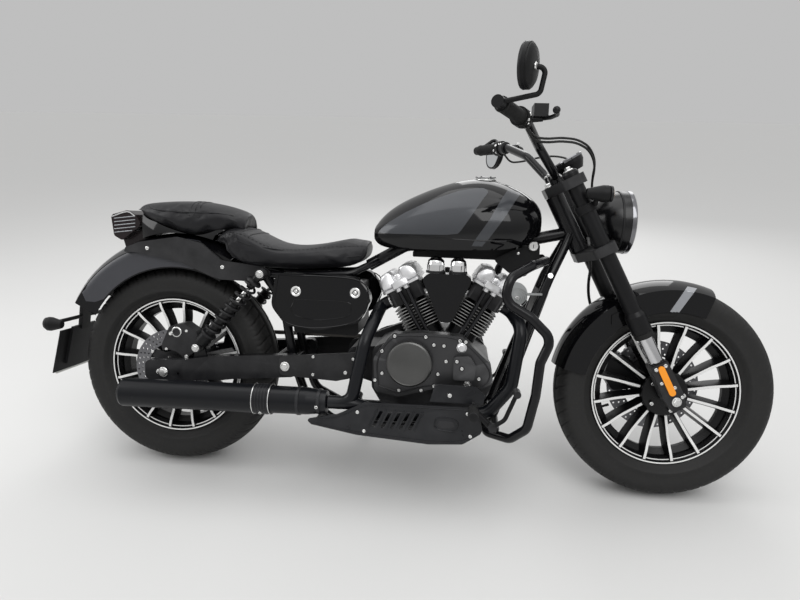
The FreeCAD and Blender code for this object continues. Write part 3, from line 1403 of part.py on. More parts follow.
def make_mirrors():
    """Round mirror on a bent arm from a clamp at each end of the bar."""
    rows = (
        # hand, elbow, upper end of the arm, mirror centre, way its glass faces
        ("Right", Vector(1036, -426, 1084), Vector(1046, -430, 1140), Vector(1004, -430, 1143),
         Vector(-0.92, 0.38, 0.08)),
        ("Left", Vector(1006, 426, 1112), Vector(1040, 430, 1060), Vector(1006, 430, 1056),
         Vector(-0.92, -0.38, 0.08)),
    )
    outward = (bar_end - bar_inner).normalize()
    half = size("mirror_thick") / 2
    units = []
    for (hand, elbow, tip, centre, facing), (_, sign) in zip(rows, sides):
        way = Vector(outward.x, sign * outward.y, outward.z)
        near = along_grip(0, sign) + way * size("seat_gap")
        clamp = rod(hand + "MirrorClamp", near, near + way * 24, "15")
        arm = swept(hand + "MirrorArm", [near + way * 12, elbow, tip, centre + (tip - centre) * 0.1], "6", 14)
        disc = doc.addObject("Part::Cylinder", hand + "MirrorDisc")
        disc.setExpression("Radius", cell("mirror_radius"))
        disc.setExpression("Height", cell("mirror_thick"))
        disc.Placement = Placement(centre, Rotation(along_z, facing)) * Placement(Vector(0, 0, -half),
                                                                                  Rotation())
        units.append(fused(hand + "Mirror", [clamp, arm, disc]))
    return grouped("Mirrors", units)


finish(make_mirrors(), "mirrors", steered)


def make_gauge():
    """Round instrument on a plate from the upper clamp."""
    case = turned("GaugeCase", [(0, -30), (30, -30), (42, -8, 6), (43, 6, 3), (38, 9), (0, 9)])
    case.Placement = Placement(Vector(1192, 0, 985), turn(along_x, 90)) * Placement(Vector(),
                                                                                    turn(along_z, 32))
    seat = size("upper_clamp") + size("clamp_thick") / 2 + size("seat_gap")
    plate = box("GaugePlate", (clamp_front - 14, -14, seat), (44, 14, seat + 12))
    plate.Placement = Placement(front_axle, turn(along_y, -size("rake"))) * plate.Placement
    return fused("Gauge", [case, plate])


finish(make_gauge(), "instrument", steered)


def make_cables():
    """Throttle pair and clutch cable into the headlight's back, and the brake hose to the caliper."""
    rows = (
        # name, side, shift of the whole cable inward and down
        ("ThrottleOpen", -1, 0), ("ThrottleClose", -1, 9), ("Clutch", 1, 0),
    )
    cables = []
    for name, sign, shift in rows:
        down = Vector(0, 0, -shift)
        route = [(1050, 274, 1012), (1086, 250, 1013), (1126, 216, 1022), (1177, 172, 1026),
                 (1220, 134, 1012),
                 (1244, 108, 976), (1241, 92, 930), (1250, 66, 890), (1262, 44, 858)]
        points = [Vector(x, sign * y, z) + down * (1 if z > 900 else 0.5) for x, y, z in route]
        leave = Vector(0.55, 0, -0.835)
        points.insert(0, along_grip(0.77, sign) + leave * (housing_radius + size("seat_gap") + 1.3) + down * 0.6)
        cables.append(swept(name + "Cable", points, cell("cable_radius"), size("cable_bend")))
    start = size("lower_clamp") - size("clamp_thick") / 2 - size("seat_gap")
    hose = [(-18, 40, start), (-18, 40, start - 14), (-26, 46, 420),
            (-50, 64, 375), (-64, 88, 325), (-68, 98, 270), (-68, 98, 215), (-66, 92, 170), (-66, 88, 138.5)]
    cables.append(swept("BrakeHose", [on_fork(*point) for point in hose], cell("hose_radius"),
                        size("cable_bend")))
    return grouped("Cables", cables)


finish(make_cables(), "control_cables", steered)


# Check every object, then write each piece

doc.recompute()
faults = [item.Name for item in doc.Objects if "Invalid" in item.State or "Error" in item.State]
for name, piece in finished:
    if piece.Shape.isNull() or not piece.Shape.isValid() or not piece.Shape.Solids:
        faults.append(name)
if faults:
    raise RuntimeError("failed objects: " + ", ".join(faults))

os.makedirs("parts", exist_ok=True)
for name, piece in finished:
    piece.Shape.exportStep(os.path.join("parts", name + ".step"))
    print(f"{name}: {len(piece.Shape.Solids)} solids, {piece.Shape.Volume / 1000:.0f} cm3")
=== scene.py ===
import json
import math
import bmesh
import bpy
from mathutils import Matrix, Vector
from mathutils.bvhtree import BVHTree
from mathutils.geometry import tessellate_polygon

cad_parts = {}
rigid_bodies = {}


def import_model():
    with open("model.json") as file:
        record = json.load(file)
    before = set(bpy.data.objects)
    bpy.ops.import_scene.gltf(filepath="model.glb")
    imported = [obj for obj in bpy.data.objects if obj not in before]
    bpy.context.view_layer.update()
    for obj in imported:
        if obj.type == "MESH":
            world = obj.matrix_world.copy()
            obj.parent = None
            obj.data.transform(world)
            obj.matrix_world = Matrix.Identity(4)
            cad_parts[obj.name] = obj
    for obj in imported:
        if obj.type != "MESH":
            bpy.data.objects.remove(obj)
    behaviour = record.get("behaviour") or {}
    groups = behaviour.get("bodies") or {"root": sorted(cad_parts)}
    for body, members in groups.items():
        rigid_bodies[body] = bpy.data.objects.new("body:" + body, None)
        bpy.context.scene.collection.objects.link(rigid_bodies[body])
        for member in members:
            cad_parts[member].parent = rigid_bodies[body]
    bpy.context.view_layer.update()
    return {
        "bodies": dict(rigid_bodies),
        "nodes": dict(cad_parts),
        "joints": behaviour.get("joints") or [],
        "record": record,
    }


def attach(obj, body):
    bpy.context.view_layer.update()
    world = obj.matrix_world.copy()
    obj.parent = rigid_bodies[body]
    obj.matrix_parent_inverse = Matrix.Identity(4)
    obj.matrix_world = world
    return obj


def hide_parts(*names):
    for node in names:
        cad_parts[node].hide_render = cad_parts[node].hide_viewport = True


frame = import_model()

# Cruiser motorcycle on its side stand. Tables are in millimetres in the upright bike's own
# frame: x forward from the rear axle, y to the left, z up. The two placements below lean it.
stance = {"lean": 11.35, "steer": 2.4, "rake": 28, "wheelbase": 1508, "frontAxleZ": 316.4, "rearAxleZ": 316,
          "forkOffset": 43, "origin": (-718, -215, 1.4)}

nodes = frame["nodes"]
allLayer = bpy.context.scene.collection
forkAngle = math.radians(stance["rake"])
forkUp = Vector((-math.sin(forkAngle), 0, math.cos(forkAngle)))
forkForward = Vector((math.cos(forkAngle), 0, math.sin(forkAngle)))
frontAxle = Vector((stance["wheelbase"], 0, stance["frontAxleZ"]))
rearAxle = Vector((0, 0, stance["rearAxleZ"]))
standing = Matrix.Scale(0.001, 4) @ Matrix.Translation(stance["origin"]) @ Matrix.Rotation(
    -math.radians(stance["lean"]), 4, "X")
steerPoint = frontAxle - forkForward * stance["forkOffset"]
steered = standing @ Matrix.Translation(steerPoint) @ Matrix.Rotation(
    math.radians(stance["steer"]), 4, forkUp) @ Matrix.Translation(-steerPoint)
places = {"chassis": standing, "rear_wheel": standing, "side_stand": standing,
          "steering": steered, "front_wheel": steered}

# Finishes: every one has uneven colour, uneven gloss, a fine bump and worn edges

def feed(tree, node, inputs):
    # a socket is linked, any other value is set
    for key, value in inputs.items():
        if isinstance(value, bpy.types.NodeSocket):
            tree.links.new(value, node.inputs[key])
        else:
            node.inputs[key].default_value = value
    return node


def addNode(tree, kind, inputs=None, **settings):
    node = tree.nodes.new("ShaderNode" + kind)
    for key, value in settings.items():
        setattr(node, key, value)
    return feed(tree, node, inputs or {})


def worked(tree, kind, operation, *values):
    # one sum; a dot product or a length gives a number
    node = addNode(tree, kind, dict(enumerate(values)), operation=operation)
    return node.outputs[1 if operation in ("DOT_PRODUCT", "LENGTH") else 0]


def mixed(tree, share, first, second):
    return addNode(tree, "Mix", {0: share, 6: first, 7: second}, data_type="RGBA").outputs[2]


def opaque(colour, share=1.0):
    return tuple(min(1, part * share) for part in colour) + (1,)


# dust colour and range, worn edge range, strength of the painted glow, and coat roughness
dustWearGlowAndCoat = {"dustColour": (0.3, 0.28, 0.25), "dustFrom": 0.5, "dustTo": 0.85, "edgeFrom": 0.52, "edgeTo": 0.62,
           "paintedGlow": 0.25, "coatRough": 0.05}


def newFinish(name, colour, rough=0.5, metal=0.0, vary=0.12, varyScale=18.0, roughVary=0.08, grain=900.0,
        bump=0.05, bumpDepth=0.0004, wear=0.0, wearColour=(0.35, 0.35, 0.36), coat=0.0, sheen=0.0,
        transmission=0.0, ior=1.45, voronoi=False, alpha=1.0, paintedGlow=None, dust=0.0, shine=0.5):
    material = bpy.data.materials.new(name)
    material.use_nodes = True
    tree = material.node_tree
    spot = addNode(tree, "TexCoord").outputs["Object"]
    cloud = addNode(tree, "TexNoise", {"Vector": spot, "Scale": varyScale, "Detail": 5.0, "Roughness": 0.6})
    uneven = cloud.outputs["Fac"]
    tint = mixed(tree, uneven, opaque(colour, 1 - vary), opaque(colour, 1 + vary))
    if dust > 0:  # pale dust that settles where the fine noise is high
        speck = addNode(tree, "TexNoise", {"Vector": spot, "Scale": varyScale * 6, "Detail": 8.0,
            "Roughness": 0.75})
        much = addNode(tree, "MapRange", {"Value": speck.outputs["Fac"], "From Min": dustWearGlowAndCoat["dustFrom"],
            "From Max": dustWearGlowAndCoat["dustTo"], "To Max": dust})
        tint = mixed(tree, much.outputs["Result"], tint, opaque(dustWearGlowAndCoat["dustColour"]))
    if wear > 0:  # bare metal or chalky edges
        shape = addNode(tree, "NewGeometry")
        edge = addNode(tree, "MapRange", {"Value": shape.outputs["Pointiness"],
            "From Min": dustWearGlowAndCoat["edgeFrom"], "From Max": dustWearGlowAndCoat["edgeTo"], "To Max": wear})
        broken = worked(tree, "Math", "MULTIPLY", edge.outputs["Result"], uneven)
        tint = mixed(tree, broken, tint, opaque(wearColour))
    gloss = addNode(tree, "MapRange", {"Value": uneven, "To Min": max(0.02, rough - roughVary),
        "To Max": min(1.0, rough + roughVary)})
    if voronoi:
        fine = addNode(tree, "TexVoronoi", {"Vector": spot, "Scale": grain}).outputs["Distance"]
    else:
        fine = addNode(tree, "TexNoise", {"Vector": spot, "Scale": grain, "Detail": 3.0}).outputs["Fac"]
    relief = addNode(tree, "Bump", {"Height": fine, "Strength": bump, "Distance": bumpDepth})
    shader = feed(tree, tree.nodes["Principled BSDF"], {
        "Base Color": tint, "Roughness": gloss.outputs["Result"], "Normal": relief.outputs["Normal"],
        "Metallic": metal, "Coat Weight": coat, "Coat Roughness": dustWearGlowAndCoat["coatRough"], "Sheen Weight": sheen,
        "Transmission Weight": transmission, "IOR": ior, "Alpha": alpha, "Specular IOR Level": shine})
    # painted glow: the lens emits light though it is no lamp, standing in for the light it reflects
    if paintedGlow:
        feed(tree, shader, {"Emission Color": opaque(paintedGlow), "Emission Strength": dustWearGlowAndCoat["paintedGlow"]})
    return material


finishTable = {
    "tyreRubber": dict(colour=(0.014, 0.0138, 0.0136), rough=0.62, vary=0.25, bump=0.2, grain=700,
                       dust=0.03, shine=0.35),
    "wheelBlack": dict(colour=(0.005, 0.005, 0.0055), rough=0.3, wear=0.15, bump=0.04, shine=0.3),
    "discSteel": dict(colour=(0.3, 0.3, 0.31), rough=0.28, metal=1.0, roughVary=0.1, bump=0.12, grain=1500),
    "frameBlack": dict(colour=(0.004, 0.004, 0.005), rough=0.22, wear=0.1, shine=0.34),
    "boltSteel": dict(colour=(0.78, 0.78, 0.77), rough=0.22, metal=0.9, bump=0.08),
    "satinBlack": dict(colour=(0.005, 0.005, 0.0056), rough=0.36, wear=0.12, bump=0.08, shine=0.26),
    "engineBlack": dict(colour=(0.007, 0.007, 0.008), rough=0.34, metal=0.0, wear=0.25, bump=0.2, grain=500,
                        shine=0.32),
    "coverGrey": dict(colour=(0.06, 0.06, 0.062), rough=0.34, metal=0.75, wear=0.4, bump=0.15, grain=600),
    "engineSilver": dict(colour=(0.74, 0.74, 0.75), rough=0.3, metal=0.75, bump=0.2, grain=450, wear=0.3,
                         wearColour=(0.9, 0.9, 0.9)),
    "glossBlack": dict(colour=(0.0025, 0.0025, 0.003), rough=0.07, roughVary=0.02, bump=0.012, grain=120,
                       shine=0.42),
    "bucketBlack": dict(colour=(0.003, 0.003, 0.0036), rough=0.24, bump=0.02, grain=200, shine=0.45),
    "brightChrome": dict(colour=(0.86, 0.86, 0.86), rough=0.07, metal=1.0, roughVary=0.03, bump=0.01,
                         grain=60),
    "exhaustBlack": dict(colour=(0.004, 0.0045, 0.006), rough=0.3, wear=0.1, bump=0.12, grain=500,
                         shine=0.3),
    "seatLeather": dict(colour=(0.007, 0.007, 0.0085), rough=0.42, vary=0.2, voronoi=True, grain=650,
                        bump=0.3, bumpDepth=0.0006, sheen=0.02, shine=0.34),
    "lampLens": dict(colour=(0.85, 0.85, 0.86), rough=0.08, transmission=0.75, ior=1.45, bump=0.1,
                     grain=150),
    "matteBlack": dict(colour=(0.007, 0.007, 0.0075), rough=0.5, bump=0.2, grain=800, shine=0.22),
    # the fork reflectors carry a painted glow, as if lit, though they are no lamps
    "amberLens": dict(colour=(0.78, 0.27, 0.012), rough=0.25, voronoi=True, grain=420, bump=0.5, coat=0.4,
                      paintedGlow=(0.5, 0.16, 0.005)),
    "gripRubber": dict(colour=(0.01, 0.01, 0.01), rough=0.6, bump=0.3, grain=1100, shine=0.3),
    "cableBlack": dict(colour=(0.006, 0.006, 0.006), rough=0.4, bump=0.1, grain=900, shine=0.4),
    "greyPaint": dict(colour=(0.055, 0.058, 0.064), rough=0.16, metal=0.2, bump=0.03, grain=1400, vary=0.06,
                      shine=0.42),
    "silverPaint": dict(colour=(0.33, 0.34, 0.36), rough=0.25, metal=0.45, coat=0.8, bump=0.03, grain=1400,
                        vary=0.06),
    "darkChrome": dict(colour=(0.2, 0.2, 0.21), rough=0.12, metal=1.0, roughVary=0.04, bump=0.01, grain=60),
    "dialBlack": dict(colour=(0.015, 0.015, 0.017), rough=0.5, bump=0.05),
    "clearGlass": dict(colour=(0.9, 0.92, 0.92), rough=0.03, roughVary=0.01, bump=0.0, alpha=0.14),
    "bowlSilver": dict(colour=(0.82, 0.82, 0.81), rough=0.22, metal=0.7, bump=0.02, grain=80),
    "tubeBlack": dict(colour=(0.03, 0.03, 0.032), rough=0.2, metal=0.8, bump=0.03),
    "finEdge": dict(colour=(0.42, 0.42, 0.41), rough=0.35, metal=0.7, bump=0.1, grain=500, vary=0.25,
                    varyScale=60),
    "clutchGrey": dict(colour=(0.1, 0.1, 0.098), rough=0.32, metal=0.85, bump=0.12, grain=700, vary=0.15),
    "lampRim": dict(colour=(0.7, 0.7, 0.7), rough=0.3, bump=0.02, grain=60, transmission=0.3),
    "smokeLens": dict(colour=(0.012, 0.008, 0.0085), rough=0.2, bump=0.05, grain=200, shine=0.4),
    "fenderGrey": dict(colour=(0.045, 0.046, 0.052), rough=0.3, bump=0.08, grain=700, shine=0.45),
    "plateWhite": dict(colour=(0.62, 0.63, 0.6), rough=0.4, bump=0.08, grain=200, vary=0.06, varyScale=6),
    "signalGlass": dict(colour=(0.9, 0.5, 0.2), rough=0.15, transmission=0.5, ior=1.4, bump=0.3, grain=220,
                        voronoi=True),
    "hornGrey": dict(colour=(0.33, 0.34, 0.34), rough=0.35, metal=0.4, bump=0.1),
    "mirrorGlass": dict(colour=(0.75, 0.77, 0.78), rough=0.03, metal=1.0, roughVary=0.01, bump=0.0),
    "drilledDisc": dict(colour=(0.2, 0.2, 0.21), rough=0.32, metal=1.0, roughVary=0.12, bump=0.15,
                        grain=1800, vary=0.2, varyScale=40),
    "chainSteel": dict(colour=(0.16, 0.15, 0.14), rough=0.38, metal=0.9, roughVary=0.14, bump=0.2,
                       grain=900, vary=0.3),
    "stanchionChrome": dict(colour=(0.6, 0.6, 0.61), rough=0.1, metal=1.0, roughVary=0.03, bump=0.01,
                            grain=60),
}
finishes = {name: newFinish(name, **row) for name, row in finishTable.items()}
print("finishes:", len(finishes))

nodeFinish = {
    "tyreRubber": "front_tyre rear_tyre", "wheelBlack": "front_rim rear_rim",
    "discSteel": "front_brake_disc rear_brake_disc rear_sprocket drive_chain",
    "frameBlack": "main_frame swingarm side_stand engine_guards handlebar",
    "boltSteel": "front_axle rear_axle fuel_cap",
    "satinBlack": "shock_absorbers pivot_covers fender_struts foot_pegs foot_levers rear_brake_caliper "
                  "fork_clamps fork_tubes fork_sliders front_brake_caliper hand_levers instrument",
    "engineBlack": "crankcase generator_cover cylinders", "coverGrey": "clutch_cover",
    "engineSilver": "rocker_covers",
    "glossBlack": "air_cleaner fuel_tank side_covers front_fender rear_fender headlight seat_cowl",
    "brightChrome": "intake_domes", "exhaustBlack": "muffler exhaust_headers belly_cover",
    "seatLeather": "rider_seat passenger_seat", "smokeLens": "tail_lamp",
    "matteBlack": "number_plate_holder rear_turn_signals radiator front_turn_signals mirrors battery_box "
                  "wiring_tray neck_covers",
    "amberLens": "fork_reflectors", "gripRubber": "hand_grips", "cableBlack": "control_cables",
    "hornGrey": "horn",
}
for finish, names in nodeFinish.items():
    for name in names.split():
        mesh = nodes[name].data
        mesh.materials.clear()
        mesh.materials.append(finishes[finish])
print("nodes without a finish:", set(nodes) - set(" ".join(nodeFinish.values()).split()))

# Camera and light

picture = {"wide": 800, "tall": 600, "sensor": 36}
viewpoint = {"place": (0.186, -1.8649, 1.1529), "heading": -6.411, "down": 18.988, "roll": 0.655,
             "focus": 599.64}


def makeCamera():
    a, p, r = (math.radians(viewpoint[key]) for key in ("heading", "down", "roll"))
    ahead = Vector((math.sin(a) * math.cos(p), math.cos(a) * math.cos(p), -math.sin(p)))
    right = ahead.cross(Vector((0, 0, 1))).normalized()
    up = right.cross(ahead)
    right, up = right * math.cos(r) + up * math.sin(r), up * math.cos(r) - right * math.sin(r)
    lens = bpy.data.cameras.new("photoCamera")
    lens.sensor_width = picture["sensor"]
    lens.lens = viewpoint["focus"] / picture["wide"] * picture["sensor"]
    lens.clip_end = 60
    camera = bpy.data.objects.new("photoCamera", lens)
    camera.matrix_world = Matrix((
        (right.x, up.x, -ahead.x, viewpoint["place"][0]), (right.y, up.y, -ahead.y, viewpoint["place"][1]),
        (right.z, up.z, -ahead.z, viewpoint["place"][2]), (0, 0, 0, 1)))
    allLayer.objects.link(camera)
    bpy.context.scene.camera = camera


studio = {"floorTone": 0.6, "wallTone": 0.52, "skyTone": 0.95, "low": 0.15, "high": 0.8, "floorSize": 60.0}
lampTable = (
    # name, place, aimed at, size, watts
    ("keyPanel", (1.2, -2.6, 3.6), (0, 0, 0.4), 2.6, 60),
    ("skyPanel", (-0.4, 0.2, 4.4), (0, 0, 0.3), 3.4, 45),
    ("rearPanel", (-3.4, -0.6, 2.2), (0, 0, 0.5), 1.8, 30),
    ("farPanel", (0.8, 3.4, 2.4), (0, 0, 0.5), 2.4, 35),
)


def makeStudio():
    bpy.ops.mesh.primitive_plane_add(size=studio["floorSize"])
    floor = bpy.context.active_object
    floor.name = "studioFloor"
    tone = studio["floorTone"]
    floor.data.materials.append(newFinish("studioFloor", (tone, tone, tone * 0.99), 0.8, vary=0.015,
        varyScale=1.5, bump=0.02))
    world = bpy.data.worlds.new("softRoom")
    bpy.context.scene.world = world
    world.use_nodes = True
    tree = world.node_tree
    sky = addNode(tree, "TexCoord")  # paler overhead, with a plain wall's tone lower down
    parts = addNode(tree, "SeparateXYZ", {0: sky.outputs["Generated"]})
    rise = addNode(tree, "MapRange", {"Value": parts.outputs["Z"], "From Min": studio["low"],
        "From Max": studio["high"], "To Min": studio["wallTone"], "To Max": studio["skyTone"]})
    feed(tree, tree.nodes["Background"], {"Color": rise.outputs["Result"], "Strength": 1.0})
    for name, spot, aim, wide, watts in lampTable:
        light = bpy.data.lights.new(name, "AREA")
        light.energy, light.size = watts, wide
        lamp = bpy.data.objects.new(name, light)
        lamp.location = spot
        lamp.rotation_euler = (Vector(aim) - Vector(spot)).to_track_quat("-Z", "Y").to_euler()
        allLayer.objects.link(lamp)
    bpy.context.scene.view_settings.view_transform = "Standard"


makeCamera()
makeStudio()
print("camera and studio are set")

# Making pieces. Meshes are built in the bike's millimetres, then placed with their body.

def putMesh(name, mesh, finish, body, smooth=35):
    piece = bpy.data.objects.new(name, mesh)
    allLayer.objects.link(piece)
    mesh.materials.append(finishes[finish])
    if smooth:
        mesh.shade_smooth()
        mesh.set_sharp_from_angle(angle=math.radians(smooth))
    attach(piece, body)
    return piece


def fromBuild(name, build, finish, body="chassis", local=None, smooth=35):
    bmesh.ops.remove_doubles(build, verts=build.verts, dist=0.01)
    bmesh.ops.recalc_face_normals(build, faces=build.faces)
    build.transform(places[body] @ (local or Matrix()))
    mesh = bpy.data.meshes.new(name)
    build.to_mesh(mesh)
    build.free()
    return putMesh(name, mesh, finish, body, smooth)


def axisFrame(place, axis, roll=0.0):
    turn = Vector(axis).to_track_quat("Z", "Y").to_matrix().to_4x4()
    return Matrix.Translation(place) @ turn @ Matrix.Rotation(math.radians(roll), 4, "Z")


def onCircle(radius, turn):
    return radius * math.cos(turn), radius * math.sin(turn)


def stitch(build, rings, closed=False, capped=False):
    # faces between each ring and the next
    count = len(rings[0])
    for first, second in zip(rings, rings[1:] + rings[:1]) if closed else zip(rings, rings[1:]):
        for k in range(count):
            build.faces.new((first[k], first[(k + 1) % count], second[(k + 1) % count], second[k]))
    if capped:
        build.faces.new(rings[0][::-1])
        build.faces.new(rings[-1])


def addLathe(build, profile, local=None, steps=48, closed=False):
    rings = []
    for radius, height in profile:
        if radius < 1e-6:
            rings.append([build.verts.new((0, 0, height))])
            continue
        rings.append([build.verts.new((*onCircle(radius, 2 * math.pi * k / steps),
            height)) for k in range(steps)])
    for first, second in zip(rings, rings[1:] + rings[:1]) if closed else zip(rings, rings[1:]):
        for k in range(steps):
            corners = [first[k % len(first)], first[(k + 1) % len(first)], second[(k + 1) % len(second)],
                second[k % len(second)]]
            unique = list(dict.fromkeys(corners))
            if len(unique) > 2:
                build.faces.new(unique)
    if local is not None:
        bmesh.ops.transform(build, matrix=local, verts=[vertex for ring in rings for vertex in ring])


def lathe(name, profile, finish, body, place, axis, steps=48, closed=False, smooth=35):
    build = bmesh.new()
    addLathe(build, profile, None, steps, closed)
    return fromBuild(name, build, finish, body, axisFrame(place, axis), smooth)


def addPlate(build, outline, thick, local=None):
    # outline in local x and y, standing from 0 to thick
    low = [build.verts.new((x, y, 0)) for x, y in outline]
    high = [build.verts.new((x, y, thick)) for x, y in outline]
    stitch(build, [low, high], capped=True)
    if local is not None:
        bmesh.ops.transform(build, matrix=local, verts=low + high)


def addTube(build, points, radius, steps=10, closed=False):
    # round section carried along the points
    points = [Vector(point) for point in points]
    count = len(points)
    side = None
    rings = []
    for k, point in enumerate(points):
        ahead = points[(k + 1) % count] if closed or k + 1 < count else point
        behind = points[k - 1] if closed or k else point
        way = (ahead - behind).normalized()
        if side is None:
            side = way.orthogonal().normalized()
        side = (side - way * side.dot(way)).normalized()
        other = way.cross(side)
        turns = [2 * math.pi * j / steps for j in range(steps)]
        rings.append([build.verts.new(point + (side * math.cos(turn) + other * math.sin(turn)) * radius)
                      for turn in turns])
    stitch(build, rings, closed, capped=not closed)


def smoothPath(corners, steps=8):
    # points of a Catmull-Rom curve through the corners
    corners = [Vector(corner) for corner in corners]
    ends = [corners[0] * 2 - corners[1]] + corners + [corners[-1] * 2 - corners[-2]]
    path = []
    for k in range(1, len(ends) - 2):
        a, b, c, d = ends[k - 1:k + 3]
        for j in range(steps):
            t = j / steps
            path.append(0.5 * ((2 * b) + (c - a) * t + (2 * a - 5 * b + 4 * c - d) * t * t
                               + (3 * b - a - 3 * c + d) * t ** 3))
    return path + [corners[-1]]


def roundedRect(halfX, halfY, radius, steps=6):
    loop = []
    for cornerX, cornerY, first in ((halfX, halfY, 0), (-halfX, halfY, 90), (-halfX, -halfY, 180),
            (halfX, -halfY, 270)):
        middle = (cornerX - math.copysign(radius, cornerX), cornerY - math.copysign(radius, cornerY))
        for k in range(steps + 1):
            turn = math.radians(first + 90 * k / steps)
            loop.append((middle[0] + radius * math.cos(turn), middle[1] + radius * math.sin(turn)))
    return loop


def addBar(build, outline, low, high, bevel, local):
    # outline in local x and z, carried along local y, with its ends drawn in a little
    middle = Vector((sum(x for x, _ in outline) / len(outline), sum(z for _, z in outline) / len(outline)))
    rings = []
    for y, inset in ((low, bevel), (low + bevel * 0.4, bevel * 0.35), (low + bevel, 0), (high - bevel, 0),
            (high - bevel * 0.4, bevel * 0.35), (high, bevel)):
        ring = []
        for x, z in outline:
            off = Vector((x, z)) - middle
            off *= max(0.0, 1 - inset / max(off.length, 1e-3))
            ring.append(build.verts.new((middle.x + off.x, y, middle.y + off.y)))
        rings.append(ring)
    stitch(build, rings, capped=True)
    bmesh.ops.transform(build, matrix=local, verts=[vertex for ring in rings for vertex in ring])


treeStore = {}


def keepTree(name, mesh, body):
    # the surface in the bike's millimetres
    back = places[body].inverted()
    treeStore[name] = BVHTree.FromPolygons([back @ vertex.co for vertex in mesh.vertices],
        [tuple(face.vertices) for face in mesh.polygons])


def surfaceFrom(name, body, start, way):
    if name not in treeStore:
        keepTree(name, nodes[name].data, body)
    return treeStore[name].ray_cast(Vector(start), Vector(way).normalized())[:2]


bothSides = ((-1, "right"), (1, "left"))
farOut = 700  # rays towards a side start here


def wrapSheet(name, outline, node, finish, side, step=7, lift=0.4):
    # a thin sheet of paint cut to the outline in x and z and laid on the node from its side
    build = bmesh.new()
    build.faces.new([build.verts.new((x, 0, z)) for x, z in outline])
    for axis in (Vector((1, 0, 0)), Vector((0, 0, 1))):
        spots = [vertex.co.dot(axis) for vertex in build.verts]
        spot = min(spots) + step
        while spot < max(spots):
            bmesh.ops.bisect_plane(build, geom=build.verts[:] + build.edges[:] + build.faces[:],
                plane_co=axis * spot, plane_no=axis)
            spot += step
    bmesh.ops.triangulate(build, faces=build.faces[:])
    lost = []
    for vertex in build.verts:
        hit, normal = surfaceFrom(node, "chassis", (vertex.co.x, side * farOut, vertex.co.z), (0, -side, 0))
        if hit is None:
            lost.append(vertex)
        else:
            vertex.co = hit + normal * lift
    bmesh.ops.delete(build, geom=lost, context="VERTS")
    return fromBuild(name, build, finish, smooth=60)


# Tyres: a fine grid round the wheel, with the tread cut into the crown

tyreTable = {  # radius over the tread, half width, bead, half width there, and the tread's pitch and depth
    "front_tyre": {"radius": 317, "half": 65, "bead": 211, "beadHalf": 38, "pitch": 40, "cut": 5.5},
    "rear_tyre": {"radius": 316, "half": 76, "bead": 211, "beadHalf": 47, "pitch": 36, "cut": 6.5},
}
treadCut = {"grooves": (-0.24, 0.24), "grooveHalf": 3.2, "lean": 1.1, "bars": (0.34, 0.97), "barHalf": 3.4,
            "nicks": (0.80, 0.99), "nickHalf": 2.4, "nickLean": 30, "steep": 1.8, "crown": 0.82}


def treadDepth(along, across, row):
    # along in mm round the tyre, across from -1 to 1 over the tread
    pitch, off = row["pitch"], abs(across)
    away = min(abs(across - middle) for middle in treadCut["grooves"]) * row["half"]
    deep = 1 - away / treadCut["grooveHalf"]
    phase = ((along + off * pitch * treadCut["lean"] + (pitch / 2 if across > 0 else 0)) % pitch) - pitch / 2
    if treadCut["bars"][0] < off < treadCut["bars"][1]:
        deep = max(deep, 1 - abs(phase) / treadCut["barHalf"])
    small = ((along + across * treadCut["nickLean"]) % (pitch / 2)) - pitch / 4
    if treadCut["nicks"][0] < off < treadCut["nicks"][1]:
        deep = max(deep, 0.5 * (1 - abs(small) / treadCut["nickHalf"]))
    return max(0.0, min(1.0, deep * treadCut["steep"]))


def makeTyre(name, body, axle, row, steps=700):
    outer, half, bead, beadHalf = row["radius"], row["half"], row["bead"], row["beadHalf"]
    inner = outer - half * 0.62
    side = [(bead, beadHalf), (bead + 6, beadHalf + 4), (bead + 14, beadHalf + 8), (bead + 20, beadHalf + 13),
        (bead + 28, half - 5), (bead + 32, half - 3.4), (bead + 34, half - 4), (inner - 12, half - 1.2),
        (inner - 5, half - 0.2), (inner + 2, half)]
    profile = [(radius, -across, 0) for radius, across in side]
    count = 38
    for k in range(count + 1):
        angle = math.radians(-90 + 180 * k / count)
        across = math.sin(angle)
        profile.append((inner + 2 + (outer - inner - 2) * max(0.0, math.cos(angle)) ** treadCut["crown"],
            across * half, 1 if 0 < k < count else 0))
    profile += [(radius, across, 0) for radius, across in reversed(side)]
    build = bmesh.new()
    rings = []
    for k in range(steps):
        turn = 2 * math.pi * k / steps
        ring = []
        for radius, across, tread in profile:
            if tread:
                radius -= row["cut"] * treadDepth(turn * outer, across / half, row) * (0.4 + 0.6 * math.cos(
                    across / half * math.pi / 2))
            ring.append(build.verts.new((radius * math.cos(turn), across, radius * math.sin(turn))))
        rings.append(ring)
    for first, second in zip(rings, rings[1:] + rings[:1]):
        for j in range(len(profile) - 1):
            build.faces.new((first[j], second[j], second[j + 1], first[j + 1]))
    piece = fromBuild(name + "_tread", build, "tyreRubber", body, Matrix.Translation(axle), smooth=50)
    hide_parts(name)
    return piece


makeTyre("front_tyre", "front_wheel", frontAxle, tyreTable["front_tyre"])
makeTyre("rear_tyre", "rear_wheel", rearAxle, tyreTable["rear_tyre"])
print("tyres are cut")

# Wheels: bright cut faces on black castings

cutFace = {"colour": (0.93, 0.93, 0.92), "rough": 0.3, "metal": 0.45, "out": 0.0285, "flat": 0.8,
           "hub": 0.0705, "grooves": 900.0}


